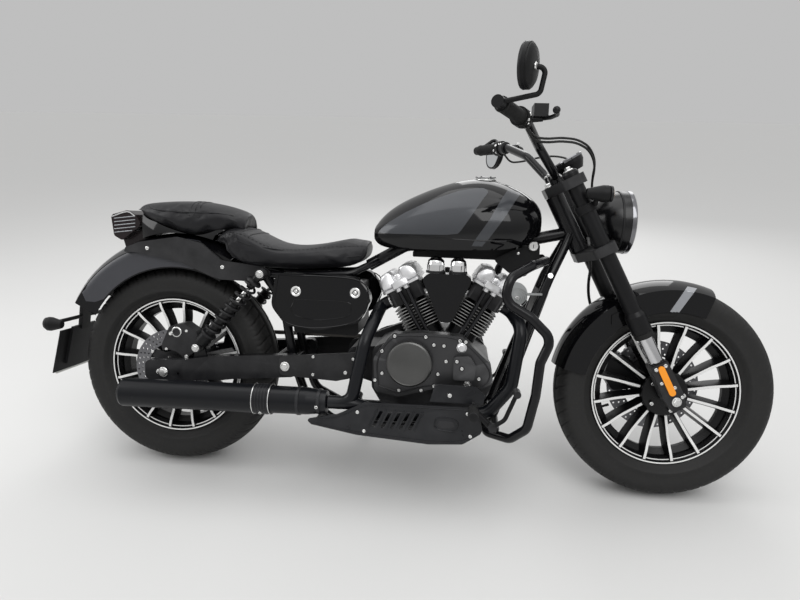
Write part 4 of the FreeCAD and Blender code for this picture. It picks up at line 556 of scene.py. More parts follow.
def machinedWheel(name, body, axle):
    # bright where the casting stands out, faces along the axle and is past the hub
    finish = newFinish(name + "_cast", (0.004, 0.004, 0.0045), 0.28, bump=0.05, shine=0.3)
    tree = finish.node_tree
    shader = tree.nodes["Principled BSDF"]
    black, gloss = (shader.inputs[key].links[0].from_socket for key in ("Base Color", "Roughness"))
    axis = (places[body].to_3x3() @ Vector((0, 1, 0))).normalized()
    place = addNode(tree, "TexCoord")
    off = worked(tree, "VectorMath", "SUBTRACT", place.outputs["Object"], places[body] @ axle)
    along, facing = (worked(tree, "Math", "ABSOLUTE", worked(tree, "VectorMath", "DOT_PRODUCT", vector,
        axis)) for vector in (off, place.outputs["Normal"]))
    reach = worked(tree, "VectorMath", "LENGTH", worked(tree, "VectorMath", "CROSS_PRODUCT", off, axis))
    outside, steep, pastHub = (worked(tree, "Math", "GREATER_THAN", value, cutFace[key]) for value,
        key in ((along, "out"), (facing, "flat"), (reach, "hub")))
    mask = worked(tree, "Math", "MULTIPLY", worked(tree, "Math", "MULTIPLY", outside, steep), pastHub)
    lathed = addNode(tree, "TexWave", {"Vector": off, "Scale": cutFace["grooves"], "Distortion": 0.4},
        wave_type="RINGS", rings_direction="SPHERICAL")
    bright = mixed(tree, lathed.outputs["Fac"], opaque(cutFace["colour"], 0.86), opaque(cutFace["colour"]))
    metal, rough = (addNode(tree, "Mix", {0: mask, 2: before, 3: after},
        data_type="FLOAT").outputs[0] for before, after in ((0.0, cutFace["metal"]),
        (gloss, cutFace["rough"])))
    feed(tree, shader, {"Base Color": mixed(tree, mask, black, bright), "Metallic": metal,
        "Roughness": rough})
    return finish


rimTable = {
    # half width over the flanges, and how far the spokes' faces stand out at the hub
    "front_rim": {"body": "front_wheel", "axle": frontAxle, "half": 47, "hubFace": 31},
    "rear_rim": {"body": "rear_wheel", "axle": rearAxle, "half": 57, "hubFace": 37},
}
rimSize = {"outer": 217, "bead": 203, "well": 185, "skin": 6, "flange": 8, "hub": 36, "hubHalf": 46,
           "cap": 68, "bore": 9.3, "spokes": 16, "face": 7.5, "foot": 24, "deep": 36, "probe": 130,
           "near": 30, "raysPerDegree": 4}
spokeRise = ((32, 0), (66, 0), (128, 0.03), (146, 0.12), (162, 0.36), (178, 0.72), (192, 0.94), (208, 1))


def makeRim(name, row):
    size, half, body, axle = rimSize, row["half"], row["body"], row["axle"]
    build = bmesh.new()
    outward = axisFrame(axle, (0, -1, 0))
    step = half - size["flange"]
    bed, pit = size["bead"] - size["skin"], size["well"] - size["skin"]
    lip = [(size["outer"], half - 2), (size["outer"] - 2, half), (size["outer"] - 6, half)]
    seat = [(size["well"], step - 30), (size["bead"], step - 22), (size["bead"], step), (size["outer"], step)]
    inner = [(bed, step - 14), (bed, step - 24), (pit, step - 32)]
    nearSide = seat + lip + inner
    addLathe(build, nearSide + [(radius, -height) for radius, height in reversed(nearSide)], outward, 128,
        closed=True)
    hub, cap, far, bore = size["hub"], size["cap"], size["hubHalf"], size["bore"]
    addLathe(build, [(bore, far), (cap - 6, far), (cap - 2, far - 1.6), (cap, far - 5), (cap, far - 8),
        (hub, far - 15), (hub, 4 - far), (hub - 4, -far), (bore, -far)], outward, 72, closed=True)
    pitch = 360 / size["spokes"]
    reached = []
    for k in range(int(pitch * size["raysPerDegree"])):  # the solid's own spokes say where they stand
        turn = math.radians(k / size["raysPerDegree"])
        spot = axle + Vector((size["probe"] * math.cos(turn), -farOut, size["probe"] * math.sin(turn)))
        hit, _ = surfaceFrom(name, body, spot, (0, 1, 0))
        if hit is not None and hit.y < -size["near"]:
            reached.append(turn)
    split = [k for k in range(1, len(reached)) if reached[k] - reached[k - 1] > math.radians(pitch / 2)]
    if split:
        reached = reached[split[0]:] + [turn + math.radians(pitch) for turn in reached[:split[0]]]
    first = sum(reached) / max(1, len(reached))
    for k in range(size["spokes"]):
        turn = first + 2 * math.pi * k / size["spokes"]
        way = Vector((math.cos(turn), 0, math.sin(turn)))
        across = Vector((-way.z, 0, way.x))
        rings = []
        for radius, share in spokeRise:
            face = row["hubFace"] + (half - 1.5 - row["hubFace"]) * share
            back = face - size["deep"] - 4 * share
            corners = ((-size["foot"], back), (-size["face"] - 1.4, face - 1.5), (-size["face"], face),
                       (size["face"], face), (size["face"] + 1.4, face - 1.5), (size["foot"], back))
            rings.append([build.verts.new(axle + way * radius + across * wide / 2 + Vector((0, -out, 0)))
                          for wide, out in corners])
        stitch(build, rings, capped=True)
    finishes[name] = machinedWheel(name, body, axle)
    rim = fromBuild(name + "_cast", build, name, body, smooth=30)
    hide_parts(name)


for name, row in rimTable.items():
    makeRim(name, row)
print("wheels have cut faces")

# Tank and fender paint: panel and stripes, each on both sides

paint = {
    "tankPanel": [(646, 766), (660, 781), (675, 793), (723, 823), (774, 849), (825, 871), (877, 890),
                  (921, 898), (944, 899), (956, 894), (958, 886), (944, 866), (915, 820), (886, 776),
                  (878, 768), (846, 764), (760, 762), (700, 761), (656, 761)],
    "tankStripe": [(919, 735), (948, 735), (965, 757), (1003, 812), (1034, 862), (1054, 890), (1016, 900),
                   (996, 868), (962, 806), (930, 757)],
}

for side, hand in bothSides:
    for part in ("panel", "stripe"):
        wrapSheet(f"tank_{part}_{hand}", paint["tank" + part.title()], "fuel_tank", "greyPaint", side)


def sightLine(u, v, body):
    # start and way of the line through a point of the 800 by 600 picture, in the bike's millimetres
    turn = bpy.context.scene.camera.matrix_world.to_3x3()
    way = turn @ Vector((u - picture["wide"] / 2, picture["tall"] / 2 - v, -viewpoint["focus"]))
    back = places[body].inverted()
    return back @ Vector(viewpoint["place"]), (back.to_3x3() @ way).normalized()


def fenderStripe(edges):
    # edges holds rows of left and right picture points; the near side is traced, the far side mirrors it
    rows = []
    for (u, v), (w, z) in edges:
        row = []
        for share in (0, 1 / 3, 2 / 3, 1):
            hit, normal = surfaceFrom("front_fender", "steering", *sightLine(u + (w - u) * share,
                v + (z - v) * share, "steering"))
            row.append(hit + normal * 0.5 if hit else None)
        rows.append(row)
    for hand, flip in (("right", 1), ("left", -1)):
        build = bmesh.new()
        made = [[build.verts.new((spot.x, spot.y * flip, spot.z)) if spot else None for spot in row]
                for row in rows]
        for first, second in zip(made, made[1:]):
            for j in range(3):
                corners = (first[j], first[j + 1], second[j + 1], second[j])
                if all(corners):
                    build.faces.new(corners)
        fromBuild("fender_stripe_" + hand, build, "silverPaint", "steering", smooth=60)


def between(a, b, count):
    return [(a[0] + (b[0] - a[0]) * k / count, a[1] + (b[1] - a[1]) * k / count) for k in range(count + 1)]


fenderStripe(list(zip(between((687.5, 286.5), (667, 316), 48), between((697, 288.5), (675, 318), 48))))
print("paint is laid")

# Seats: each pad is blown up from a slightly smaller shell of its solid, then seamed

padding = {"shrink": 5.0, "voxel": 0.006, "pressure": 4.0, "stiffness": 25, "quality": 5, "frames": 20}
seatTable = {"rider_seat": {"cap": 0.009, "fill": 0.7}, "passenger_seat": {"cap": 0.010, "fill": 0.75}}
# the passenger pad's front is drawn down to meet the rider seat: x, top, underside, how far down
padFront = ((120, 827, 745, 0), (160, 822, 759, 14), (190, 814, 772, 22), (214, 807, 785, 32),
    (240, 799, 791, 44))


def drawnDown(x, z):
    for (a, topA, lowA, downA), (b, topB, lowB, downB) in zip(padFront, padFront[1:]):
        if a <= x < b:
            share = (x - a) / (b - a)
            top, low, down = (p + (q - p) * share for p, q in ((topA, topB), (lowA, lowB), (downA, downB)))
            return z - down * min(1, max(0, (top - z) / (top - low)))
    return z


def makeSeat(name, row):
    shell = nodes[name].data.copy()
    shell.name = name + "_cushion"
    piece = bpy.data.objects.new(name + "_cushion", shell)
    allLayer.objects.link(piece)
    bpy.context.view_layer.objects.active = piece
    for each in bpy.context.selected_objects:
        each.select_set(False)
    piece.select_set(True)
    shell.remesh_voxel_size = padding["voxel"]
    bpy.ops.object.voxel_remesh()
    mesh = piece.data
    back = places["chassis"].inverted()
    if name == "passenger_seat":
        for vertex in mesh.vertices:
            spot = back @ vertex.co
            vertex.co = places["chassis"] @ Vector((spot.x, spot.y, drawnDown(spot.x, spot.z)))
    rest = [vertex.co - vertex.normal * padding["shrink"] * 0.001 for vertex in mesh.vertices]
    for vertex, spot in zip(mesh.vertices, rest):
        vertex.co = spot
    cloth = piece.modifiers.new("blow", "CLOTH")
    settings = cloth.settings
    settings.use_pressure = True
    settings.uniform_pressure_force = padding["pressure"]
    settings.effector_weights.gravity = 0
    settings.tension_stiffness = settings.compression_stiffness = padding["stiffness"]
    settings.quality = padding["quality"]
    for step in range(1, padding["frames"] + 1):
        bpy.context.scene.frame_set(step)
    grown = piece.evaluated_get(bpy.context.evaluated_depsgraph_get()).data
    moved = [vertex.co.copy() for vertex in grown.vertices]
    piece.modifiers.clear()
    bpy.context.scene.frame_set(1)
    for vertex, before, after in zip(mesh.vertices, rest, moved):
        travel = after - before
        if travel.length > row["cap"]:
            travel *= row["cap"] / travel.length
        vertex.co = before + travel
    smooth = piece.modifiers.new("even", "SMOOTH")
    smooth.iterations = 3
    finer = piece.modifiers.new("finer", "SUBSURF")
    finer.levels = finer.render_levels = 1
    for modifier in ("even", "finer"):
        bpy.ops.object.modifier_apply(modifier=modifier)
    piece.data.materials.clear()
    piece.data.materials.append(finishes["seatLeather"])
    piece.data.shade_smooth()
    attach(piece, "chassis")
    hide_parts(name)
    keepTree(piece.name, piece.data, "chassis")


def seamOn(name, target, points, radius=1.6):
    # piping or stitching laid on a cushion, dropped from the points
    build = bmesh.new()
    rays = [surfaceFrom(target, "chassis", start, (0, 0, -1)) for start in points]
    found = [hit + normal * 0.5 for hit, normal in rays if hit is not None]
    addTube(build, smoothPath(found, 3), radius, 8)
    return fromBuild(name, build, "seatLeather")


for name, row in seatTable.items():
    makeSeat(name, row)
    print(name, "is padded")

seatPiping = {
    "rider_seat": [(150, -50), (170, -78), (210, -98), (260, -112), (330, -120), (420, -119), (500, -100),
                   (560, -76), (600, -58)],
    "passenger_seat": [(-92, -40), (-60, -66), (0, -80), (80, -84), (150, -80), (195, -66)],
}
above = 900  # rays down onto the seats start here
for name, line in seatPiping.items():
    for side, hand in bothSides:
        seamOn(f"{name}_piping_{hand}", name + "_cushion", [(x, -side * y, above) for x, y in line])
    if name == "rider_seat":
        for number, x in enumerate((236, 262)):
            across = [(x - 0.0009 * y * y, y, above) for y in range(-100, 101, 20)]
            seamOn(f"rider_seat_welt_{number}", "rider_seat_cushion", across, 1.4)
print("seats are seamed")

# Headlight: bright bezel, domed glass, bowl and bulb behind it

headlight = {"z": 815, "back": 1254, "face": 1368, "rim": 91, "glass": 83, "wall": 2.5}


def makeHeadlight():
    spot = (0, 0, headlight["z"])
    rim, face, glass, back, wall = (headlight[key] for key in ("rim", "face", "glass", "back", "wall"))
    outside = [(0, back), (18, back + 1), (30, back + 5), (50, back + 22), (66, back + 36), (78, back + 49),
        (85, back + 64), (88.5, back + 82), (rim - 2, face - 32), (rim - 0.5, face - 26), (rim, face - 2)]
    inside = [(rim - wall, face - 2), (rim - wall - 1, face - 30), (82, back + 68), (72, back + 52),
        (0, back + 30)]
    bucket = lathe("headlight_bucket", outside + inside, "bucketBlack", "steering", spot, (1, 0, 0), 72)
    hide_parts("headlight")
    lathe("headlight_bezel", [(rim - 0.5, face - 7), (rim + 1.2, face - 6), (rim + 1.6, face - 1),
        (rim + 0.8, face + 5), (rim - 3, face + 8), (glass, face + 8.5), (glass - 2, face + 4),
        (glass - 1, face - 2)], "darkChrome", "steering", spot, (1, 0, 0), 72)
    lathe("headlight_glass", [(glass - 1, face + 3), (glass - 1, face + 5), (66, face + 10.5),
        (40, face + 15), (0, face + 17.5), (0, face + 15.5), (40, face + 13), (66, face + 8.5)], "clearGlass",
        "steering", spot, (1, 0, 0), 64)
    bowl = [(glass - 1 - 0.0075 * k * k, face + 2 - 5.2 * k) for k in range(8)]
    bowl += [(70, face - 44), (56, face - 58), (38, face - 70), (16, face - 78), (12, face - 78)]
    lathe("headlight_bowl", bowl + [(12, face - 80), (40, face - 73), (72, face - 46), (glass + 1, face - 4)],
        "bowlSilver", "steering", spot, (1, 0, 0), 72)
    lathe("headlight_bulb", [(11, face - 79), (11, face - 66), (8, face - 64), (7, face - 40), (5, face - 34),
        (0, face - 32)], "lampLens", "steering", spot, (1, 0, 0), 32)
    build = bmesh.new()
    addLathe(build, [(16, face - 41), (18, face - 30), (17.4, face - 27), (0, face - 25), (0, face - 26.4),
        (15.8, face - 28.4), (14.6, face - 41)], axisFrame(spot, (1, 0, 0)), 40)
    for turn in (90, 270):
        way = Vector((0, math.cos(math.radians(turn)), math.sin(math.radians(turn))))
        middle = Vector(spot)
        addTube(build, [middle + Vector((face - 34, 0, 0)) + way * 16,
            middle + Vector((face - 40, 0, 0)) + way * 74], 1.6, 8)
    fromBuild("headlight_shade", build, "darkChrome", "steering")
    build = bmesh.new()
    addLathe(build, [(rim - 0.5, face - 26), (rim + 0.8, face - 27), (rim + 0.8, face - 31),
        (rim - 0.5, face - 32)], axisFrame(spot, (1, 0, 0)), 64)
    upright = Matrix(((forkForward.x, 0, forkUp.x, frontAxle.x), (0, 1, 0, 0),
        (forkForward.z, 0, forkUp.z, frontAxle.z), (0, 0, 0, 1)))
    addBar(build, [(-10, 489.4), (16, 489.4), (18, 522), (-4, 514)], -22, 22, 2, upright)
    fromBuild("headlight_bracket", build, "satinBlack", "steering")


makeHeadlight()

# Mirrors
mirrorTable = (
    # name, disc centre, way the glass faces
    ("right", Vector((1004, -430, 1143)), Vector((-0.92, 0.38, 0.08))),
    ("left", Vector((1006, 430, 1056)), Vector((-0.92, -0.38, 0.08))),
)
mirrorSize = {"radius": 51, "half": 7, "glass": 46}
for hand, centre, facing in mirrorTable:
    half, wide, glass = mirrorSize["half"], mirrorSize["radius"], mirrorSize["glass"]
    lathe("mirror_glass_" + hand, [(glass, half + 0.2), (glass - 1, half + 1.0), (0, half + 1.4)],
        "mirrorGlass", "steering", centre, facing, 56)
    lathe("mirror_rim_" + hand, [(wide - 0.5, 0), (wide + 0.8, half - 2), (wide - 1, half + 1.8),
        (glass + 1, half + 1.6), (glass, half - 1)], "satinBlack", "steering", centre, facing, 56)
    lathe("mirror_back_" + hand, [(wide, 0), (wide - 3, half + 4), (40, half + 9.5), (20, half + 11.5),
        (0, half + 12)], "matteBlack", "steering", centre, -facing, 56)
    lathe("mirror_boss_" + hand, [(0, half + 15), (6, half + 14.6), (8, half + 13), (9, half + 10)],
        "boltSteel", "steering", centre, -facing, 24)
print("headlight and mirrors are in")

# Hardware and open work: heads stand on the surface that a ray meets

def addHead(build, spot, facing, radius, kind="hex"):
    seat = axisFrame(spot, facing, spot[0] * 7)
    if kind == "hex":
        addLathe(build, [(0, -1), (radius * 1.3, -1), (radius * 1.3, radius * 0.16),
            (radius * 1.22, radius * 0.24), (0, radius * 0.24)], seat, 20)
        addLathe(build, [(0, radius * 0.2), (radius, radius * 0.2), (radius, radius * 0.72),
            (radius * 0.86, radius * 0.86), (0, radius * 0.86)], seat, 6)
    elif kind == "cap":
        addLathe(build, [(0, -1), (radius, -1), (radius, radius * 0.8), (radius * 0.88, radius * 0.95),
            (radius * 0.56, radius * 0.95)], seat, 18)
        addLathe(build, [(radius * 0.6, radius * 0.94), (radius * 0.54, radius * 0.92),
            (radius * 0.5, radius * 0.35), (0, radius * 0.35)], seat, 6)
    else:
        addLathe(build, [(0, -1), (radius, -1), (radius, radius * 0.12), (radius * 0.86, radius * 0.42),
            (radius * 0.5, radius * 0.6), (0, radius * 0.66)], seat, 20)


def outermost(names, body, start, way):
    rays = [surfaceFrom(name, body, start, way) for name in names.split()]
    met = [ray for ray in rays if ray[0] is not None]
    return min(met, key=lambda ray: (ray[0] - Vector(start)).length) if met else (None, None)


nearlySquare = 0.93  # a head leans with the surface up to this


def headsOn(name, nodeNames, rows, radius, kind="hex", hands=(-1,), body="chassis"):
    # rows are x and z, seen square from the side
    build = bmesh.new()
    for hand in hands:
        for x, z in rows:
            hit, normal = outermost(nodeNames, body, (x, hand * farOut, z), (0, -hand, 0))
            flat = Vector((0, hand, 0))
            if hit is not None:
                addHead(build, hit, normal if normal.dot(flat) > nearlySquare else flat, radius, kind)
    return fromBuild(name, build, "boltSteel", body)


def headAt(build, node, start, way, radius, kind="cap", facing=None, body="steering"):
    hit, normal = surfaceFrom(node, body, start, way)
    if hit is not None:
        addHead(build, hit, facing or normal, radius, kind)


def ringLoop(radius, count, centre=(0, 0), first=0.0):
    return [(centre[0] + radius * math.cos(math.radians(first + 360 * k / count)),
        centre[1] + radius * math.sin(math.radians(first + 360 * k / count))) for k in range(count)]


def addDrilled(build, outline, holes, low, high, local):
    # a flat ring or plate with round holes; outline and holes are loops in local x and y
    loops = [outline] + holes
    flat = [Vector((x, y, 0)) for loop in loops for x, y in loop]
    faces = tessellate_polygon([[Vector((x, y, 0)) for x, y in loop] for loop in loops])
    under = [build.verts.new((spot.x, spot.y, low)) for spot in flat]
    over = [build.verts.new((spot.x, spot.y, high)) for spot in flat]
    for corners in faces:
        build.faces.new([over[k] for k in corners])
        build.faces.new([under[k] for k in reversed(corners)])
    start = 0
    for loop in loops:
        count = len(loop)
        for k in range(count):
            a, b = start + k, start + (k + 1) % count
            build.faces.new((under[a], under[b], over[b], over[a]))
        start += count
    bmesh.ops.transform(build, matrix=local, verts=under + over)


wheelFrames = {  # where each wheel's axis stands, with z outward on the side that is named
    "front_left": ("front_wheel", axisFrame(frontAxle, (0, 1, 0))),
    "rear_right": ("rear_wheel", axisFrame(rearAxle, (0, -1, 0))),
    "rear_left": ("rear_wheel", axisFrame(rearAxle, (0, 1, 0))),
}
discTable = (
    # node, frame, outer radius, inner radius of the drilled ring, middle plane, thickness, bolts
    ("front_brake_disc", "front_left", 140, 92, 70, 4.5, 5),
    ("rear_brake_disc", "rear_right", 120, 78, 82, 4.5, 5),
)
for node, key, outer, inner, middle, thick, bolts in discTable:
    body, local = wheelFrames[key]
    build = bmesh.new()
    holes = [ringLoop(inner, 72)]
    for k in range(bolts * 8):
        for row in range(3):
            turn = 360 / (bolts * 8) * (k + row / 3)
            reach = inner + 9 + (outer - inner - 17) * row / 2
            holes.append(ringLoop(3.1, 10, onCircle(reach, math.radians(turn))))
    addDrilled(build, ringLoop(outer, 96), holes, middle - thick / 2, middle + thick / 2, local)
    fromBuild(node + "_ring", build, "drilledDisc", body, smooth=30)
    build = bmesh.new()
    edge = []
    for k in range(bolts * 2):
        turn = math.radians(360 * k / (bolts * 2))
        reach, swing = (52, 0.2) if k % 2 else (inner + 7, 0.16 * 0.7)
        edge += [onCircle(reach, turn - swing), onCircle(reach, turn + swing)]
    addDrilled(build, edge, [ringLoop(23.4, 40)], middle - thick / 2 - 2.5, middle - thick / 2 - 0.1, local)
    addLathe(build, [(23.2, 46.2), (33, 46.2), (33, middle - 2), (41, middle - 2), (41, middle + 1.2),
        (23.2, middle + 1.2)], local, 48, closed=True)
    carrier = fromBuild(node + "_carrier", build, "satinBlack", body, smooth=30)
    build = bmesh.new()
    for x, y in ringLoop(inner + 1.5, bolts):
        addHead(build, local @ Vector((x, y, middle + thick / 2)), local.to_3x3() @ Vector((0, 0, 1)), 5.2,
            "dome")
    for x, y in ringLoop(32, bolts, first=36):
        addHead(build, local @ Vector((x, y, middle + 1)), local.to_3x3() @ Vector((0, 0, 1)), 5, "cap")
    fromBuild(node + "_bolts", build, "boltSteel", body)
    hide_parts(node)
print("discs are drilled")

# Chain and sprocket on the left

drive = {"big": (0, 316), "bigRadius": 84, "small": (566, 372), "smallRadius": 34, "grow": 8.5, "side": 92,
         "pitch": 15.875, "teeth": 41}


def chainSpots():
    # even stops along the chain's middle line
    big, small = Vector(drive["big"]), Vector(drive["small"])
    r, q = drive["bigRadius"] + drive["grow"], drive["smallRadius"] + drive["grow"]
    across = small - big
    spread = math.acos((r - q) / across.length)
    heading = math.atan2(across.y, across.x)
    path = []
    for k in range(101):
        turn = heading + spread + (2 * math.pi - 2 * spread) * k / 100
        path.append(big + Vector(onCircle(1, turn)) * r)
    for k in range(41):
        turn = heading - spread + 2 * spread * k / 40
        path.append(small + Vector(onCircle(1, turn)) * q)
    path.append(path[0])
    total = sum((b - a).length for a, b in zip(path, path[1:]))
    count = 2 * round(total / drive["pitch"] / 2)
    spots, gone, want = [], 0.0, 0.0
    for a, b in zip(path, path[1:]):
        span = (b - a).length
        while want < gone + span - 1e-6 and len(spots) < count:
            spots.append(a + (b - a) * ((want - gone) / span))
            want += total / count
        gone += span
    return spots


def makeChain():
    build = bmesh.new()
    spots = chainSpots()
    for k, (a, b) in enumerate(zip(spots, spots[1:] + spots[:1])):
        way = (b - a).normalized()
        middle = (a + b) / 2
        turn = math.atan2(way.y, way.x)
        half = (b - a).length / 2
        outline = []
        for end in (1, -1):
            for j in range(7):
                swing = math.radians(-90 + 180 * j / 6) + (0 if end > 0 else math.pi)
                outline.append((end * half + 5.6 * math.cos(swing), 5.6 * math.sin(swing)))
        wide = (5.4, 7.2) if k % 2 else (3.4, 5.2)
        for hand in (1, -1):
            low, high = sorted((hand * wide[0], hand * wide[1]))
            local = Matrix.Translation((middle.x, drive["side"], middle.y)) @ Matrix.Rotation(
                -turn, 4, "Y") @ Matrix.Rotation(math.radians(90), 4, "X") @ Matrix.Translation((0, 0, low))
            addPlate(build, outline, high - low, local)
        addLathe(build, [(0, -7.4), (2.6, -7.4), (2.6, -5.6), (5.0, -3.2), (5.0, 3.2), (2.6, 5.6), (2.6, 7.4),
            (0, 7.4)], axisFrame((a.x, drive["side"], a.y), (0, 1, 0)), 10)
    chain = fromBuild("drive_chain_links", build, "chainSteel")
    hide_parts("drive_chain")


def makeSprocket():
    body, local = wheelFrames["rear_left"]
    build = bmesh.new()
    edge = []
    for k in range(drive["teeth"]):
        for share, reach in ((-0.42, 78), (-0.2, 79.5), (-0.08, 83.6), (0.08, 83.6), (0.2, 79.5), (0.42, 78)):
            edge.append(onCircle(reach, 2 * math.pi * (k + share) / drive["teeth"]))
    holes = [ringLoop(23.2, 40)] + [ringLoop(9, 18, spot) for spot in ringLoop(60, 10)]
    addDrilled(build, edge, holes, 88.6, 95.4, local)
    addLathe(build, [(23.2, 46.2), (33, 46.2), (33, 88), (42, 88), (42, 88.8), (23.2, 88.8)], local, 48,
        closed=True)
    wheel = fromBuild("rear_sprocket_teeth", build, "discSteel", body, smooth=30)
    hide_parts("rear_sprocket")
    build = bmesh.new()
    for x, y in ringLoop(37, 5):
        addHead(build, local @ Vector((x, y, 95.2)), (0, 1, 0), 6, "hex")
    fromBuild("rear_sprocket_nuts", build, "boltSteel", body)


makeChain()
makeSprocket()
print("chain and sprocket are in")

# Shock absorbers: body, rod, sprung coil, and eyes

shockTable = {"top": Vector((307, 0, 630)), "foot": Vector((108, 0, 398)), "side": 139, "wire": 4.0,
              "coil": 20.6, "turns": 8.5}


def makeShocks():
    top, foot, side = shockTable["top"], shockTable["foot"], shockTable["side"]
    length = (top - foot).length
    frames, coils, bright = bmesh.new(), bmesh.new(), bmesh.new()
    for hand in (-1, 1):
        out = Vector((0, hand * side, 0))
        local = axisFrame(foot + out, top - foot)
        low, high = 0.2 * length, 0.88 * length
        addLathe(frames, [(0, 12), (11, 12), (12, 18), (20, 21), (20.6, 26), (20.6, low - 10),
            (22.6, low - 9), (24, low - 5), (24, low - 1), (16, low)], local, 40)
        addLathe(frames, [(15.4, low - 2), (15.4, length * 0.6), (13.4, length * 0.605),
            (13.4, length * 0.62)], local, 32)
        addLathe(bright, [(7, length * 0.6), (7, high + 1)], local, 24)
        addLathe(frames, [(13, high - 12), (13, high + 1), (24, high + 1), (24.4, high + 6), (21, high + 9),
            (12, high + 13), (12, length - 12), (0, length - 12)], local, 40)
        addLathe(frames, [(0, high - 22), (9, high - 20), (12.5, high - 12)], local, 28)
        path = []
        turns, wire = shockTable["turns"], shockTable["wire"]
        count = int(turns * 26)
        for k in range(count + 1):
            turn = 2 * math.pi * turns * k / count
            share = k / count
            rise = low + wire + (high - low - 2 * wire) * share
            path.append(Vector((*onCircle(shockTable["coil"], turn), rise)))
        addTube(coils, [local @ point for point in path], wire, 10)
        for spot in (foot, top):
            addLathe(frames, [(6.3, -13), (14.9, -13), (14.9, 13), (6.3, 13)],
                axisFrame(spot + out, (0, 1, 0)), 32, closed=True)
            addHead(bright, spot + out + Vector((0, hand * 13.2, 0)), (0, hand, 0), 9, "hex")
    springs = fromBuild("shock_coils", coils, "satinBlack")
    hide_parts("shock_absorbers")
    fromBuild("shock_bodies", frames, "satinBlack")
    fromBuild("shock_rods", bright, "boltSteel")


makeShocks()
print("shocks are sprung")

# Steering: gauge, grips, caps, stanchions and bolts

gauge = {"place": Vector((1192, 0, 985)), "facing": Vector((-0.53, 0, 0.848)), "face": 9.0, "radius": 36,
         "zero": 225, "sweep": 270, "marks": 30, "longEach": 5}


def makeGauge():
    place, facing, face, radius = (gauge[key] for key in ("place", "facing", "face", "radius"))
    local = axisFrame(place, facing)
    lathe("gauge_ring", [(radius, face - 1), (43.6, face - 5), (44, face + 0.5), (42, face + 3.6),
        (radius + 1.5, face + 3.8), (radius, face + 2)], "darkChrome", "steering", place, facing, 64,
        closed=True)
    lathe("gauge_dial", [(radius, face + 0.3), (0, face + 0.3)], "dialBlack", "steering", place, facing,
        56)
    build = bmesh.new()
    for k in range(gauge["marks"] + 1):
        turn = math.radians(gauge["zero"] - gauge["sweep"] * k / gauge["marks"])
        outer = radius - 4
        long, wide = (3, 0.4) if k % gauge["longEach"] else (6, 0.7)
        across, along = Vector((-math.sin(turn), math.cos(turn))), Vector(onCircle(1, turn))
        outline = [along * outer + across * wide, along * (outer - long) + across * wide,
            along * (outer - long) - across * wide, along * outer - across * wide]
        addPlate(build, [tuple(spot) for spot in outline], 0.3,
            local @ Matrix.Translation((0, 0, face + 0.3)))
    turn = math.radians(gauge["zero"])
    along, across = Vector(onCircle(1, turn)), Vector((-math.sin(turn), math.cos(turn)))
    outline = [along * 26, across * 1.4 - along * 6, -across * 1.4 - along * 6]
    addPlate(build, [tuple(spot) for spot in outline], 0.6, local @ Matrix.Translation((0, 0, face + 1.2)))
    addLathe(build, [(0, face + 0.3), (4, face + 0.3), (4, face + 2.2), (0, face + 2.6)], local, 20)
    fromBuild("gauge_marks", build, "silverPaint", "steering")
    lathe("gauge_glass", [(radius + 1, face + 2.6), (radius * 0.6, face + 4.4), (0, face + 5.2)],
        "clearGlass", "steering", place, facing, 56)


makeGauge()

gripLine = {"end": Vector((953, 400, 1066)), "inner": Vector((1034, 240, 1056))}


def gripPoint(fraction, hand):
    spot = gripLine["end"] + (gripLine["inner"] - gripLine["end"]) * fraction
    return Vector((spot.x, hand * spot.y, spot.z))


gripRings = 22


def makeBars():
    rubber, hard, bright = bmesh.new(), bmesh.new(), bmesh.new()
    for hand in (-1, 1):
        way = gripPoint(0.5, hand) - gripPoint(0, hand)
        length = (gripPoint(0.68, hand) - gripPoint(0.01, hand)).length
        local = axisFrame(gripPoint(0.01, hand), way)
        profile = [(17, -0.2), (18.6, 0.4), (19, 3), (18.4, 5)]
        step = (length - 14) / gripRings
        for k in range(gripRings):
            base = 8 + step * k
            profile += [(17.1, base), (17.1, base + step * 0.2), (18.1, base + step * 0.38),
                (18.1, base + step * 0.78), (17.1, base + step * 0.95)]
        profile += [(17.1, length - 5), (20.5, length - 4), (21, length - 1), (17.1, length)]
        addLathe(rubber, profile, local, 40)
        for share, wide, tall in ((0.675, 24.5, 3), (0.742, 24.6, 1.2), (0.812, 24.5, 3)):
            addLathe(hard, [(23.4, -tall), (wide, -tall), (wide, tall), (23.4, tall)],
                axisFrame(gripPoint(share, hand), way), 40, closed=True)
        for share, turn, radius in ((0.72, 200, 4.2), (0.775, 160, 5.0), (0.775, 220, 3.4)):
            spot, facing = gripPoint(share, hand), axisFrame((0, 0, 0), way).to_3x3() @ Vector(
                (*onCircle(1, math.radians(turn)), 0))
            addHead(bright, spot + facing * 23.6, facing, radius, "dome")
        for share in (0.86, 0.92):
            addHead(bright, gripPoint(share, hand) + Vector((-16, 0, 12)), (-0.8, 0, 0.6), 4, "cap")
        addHead(bright, (1070, hand * 256, 1070), (0, 0, 1), 6, "hex")
    fromBuild("grip_rings", rubber, "gripRubber", "steering")
    fromBuild("housing_rings", hard, "matteBlack", "steering")
    fromBuild("housing_screws", bright, "boltSteel", "steering")


makeBars()

forkFrame = Matrix.Translation(frontAxle) @ Matrix.Rotation(-forkAngle, 4, "Y")


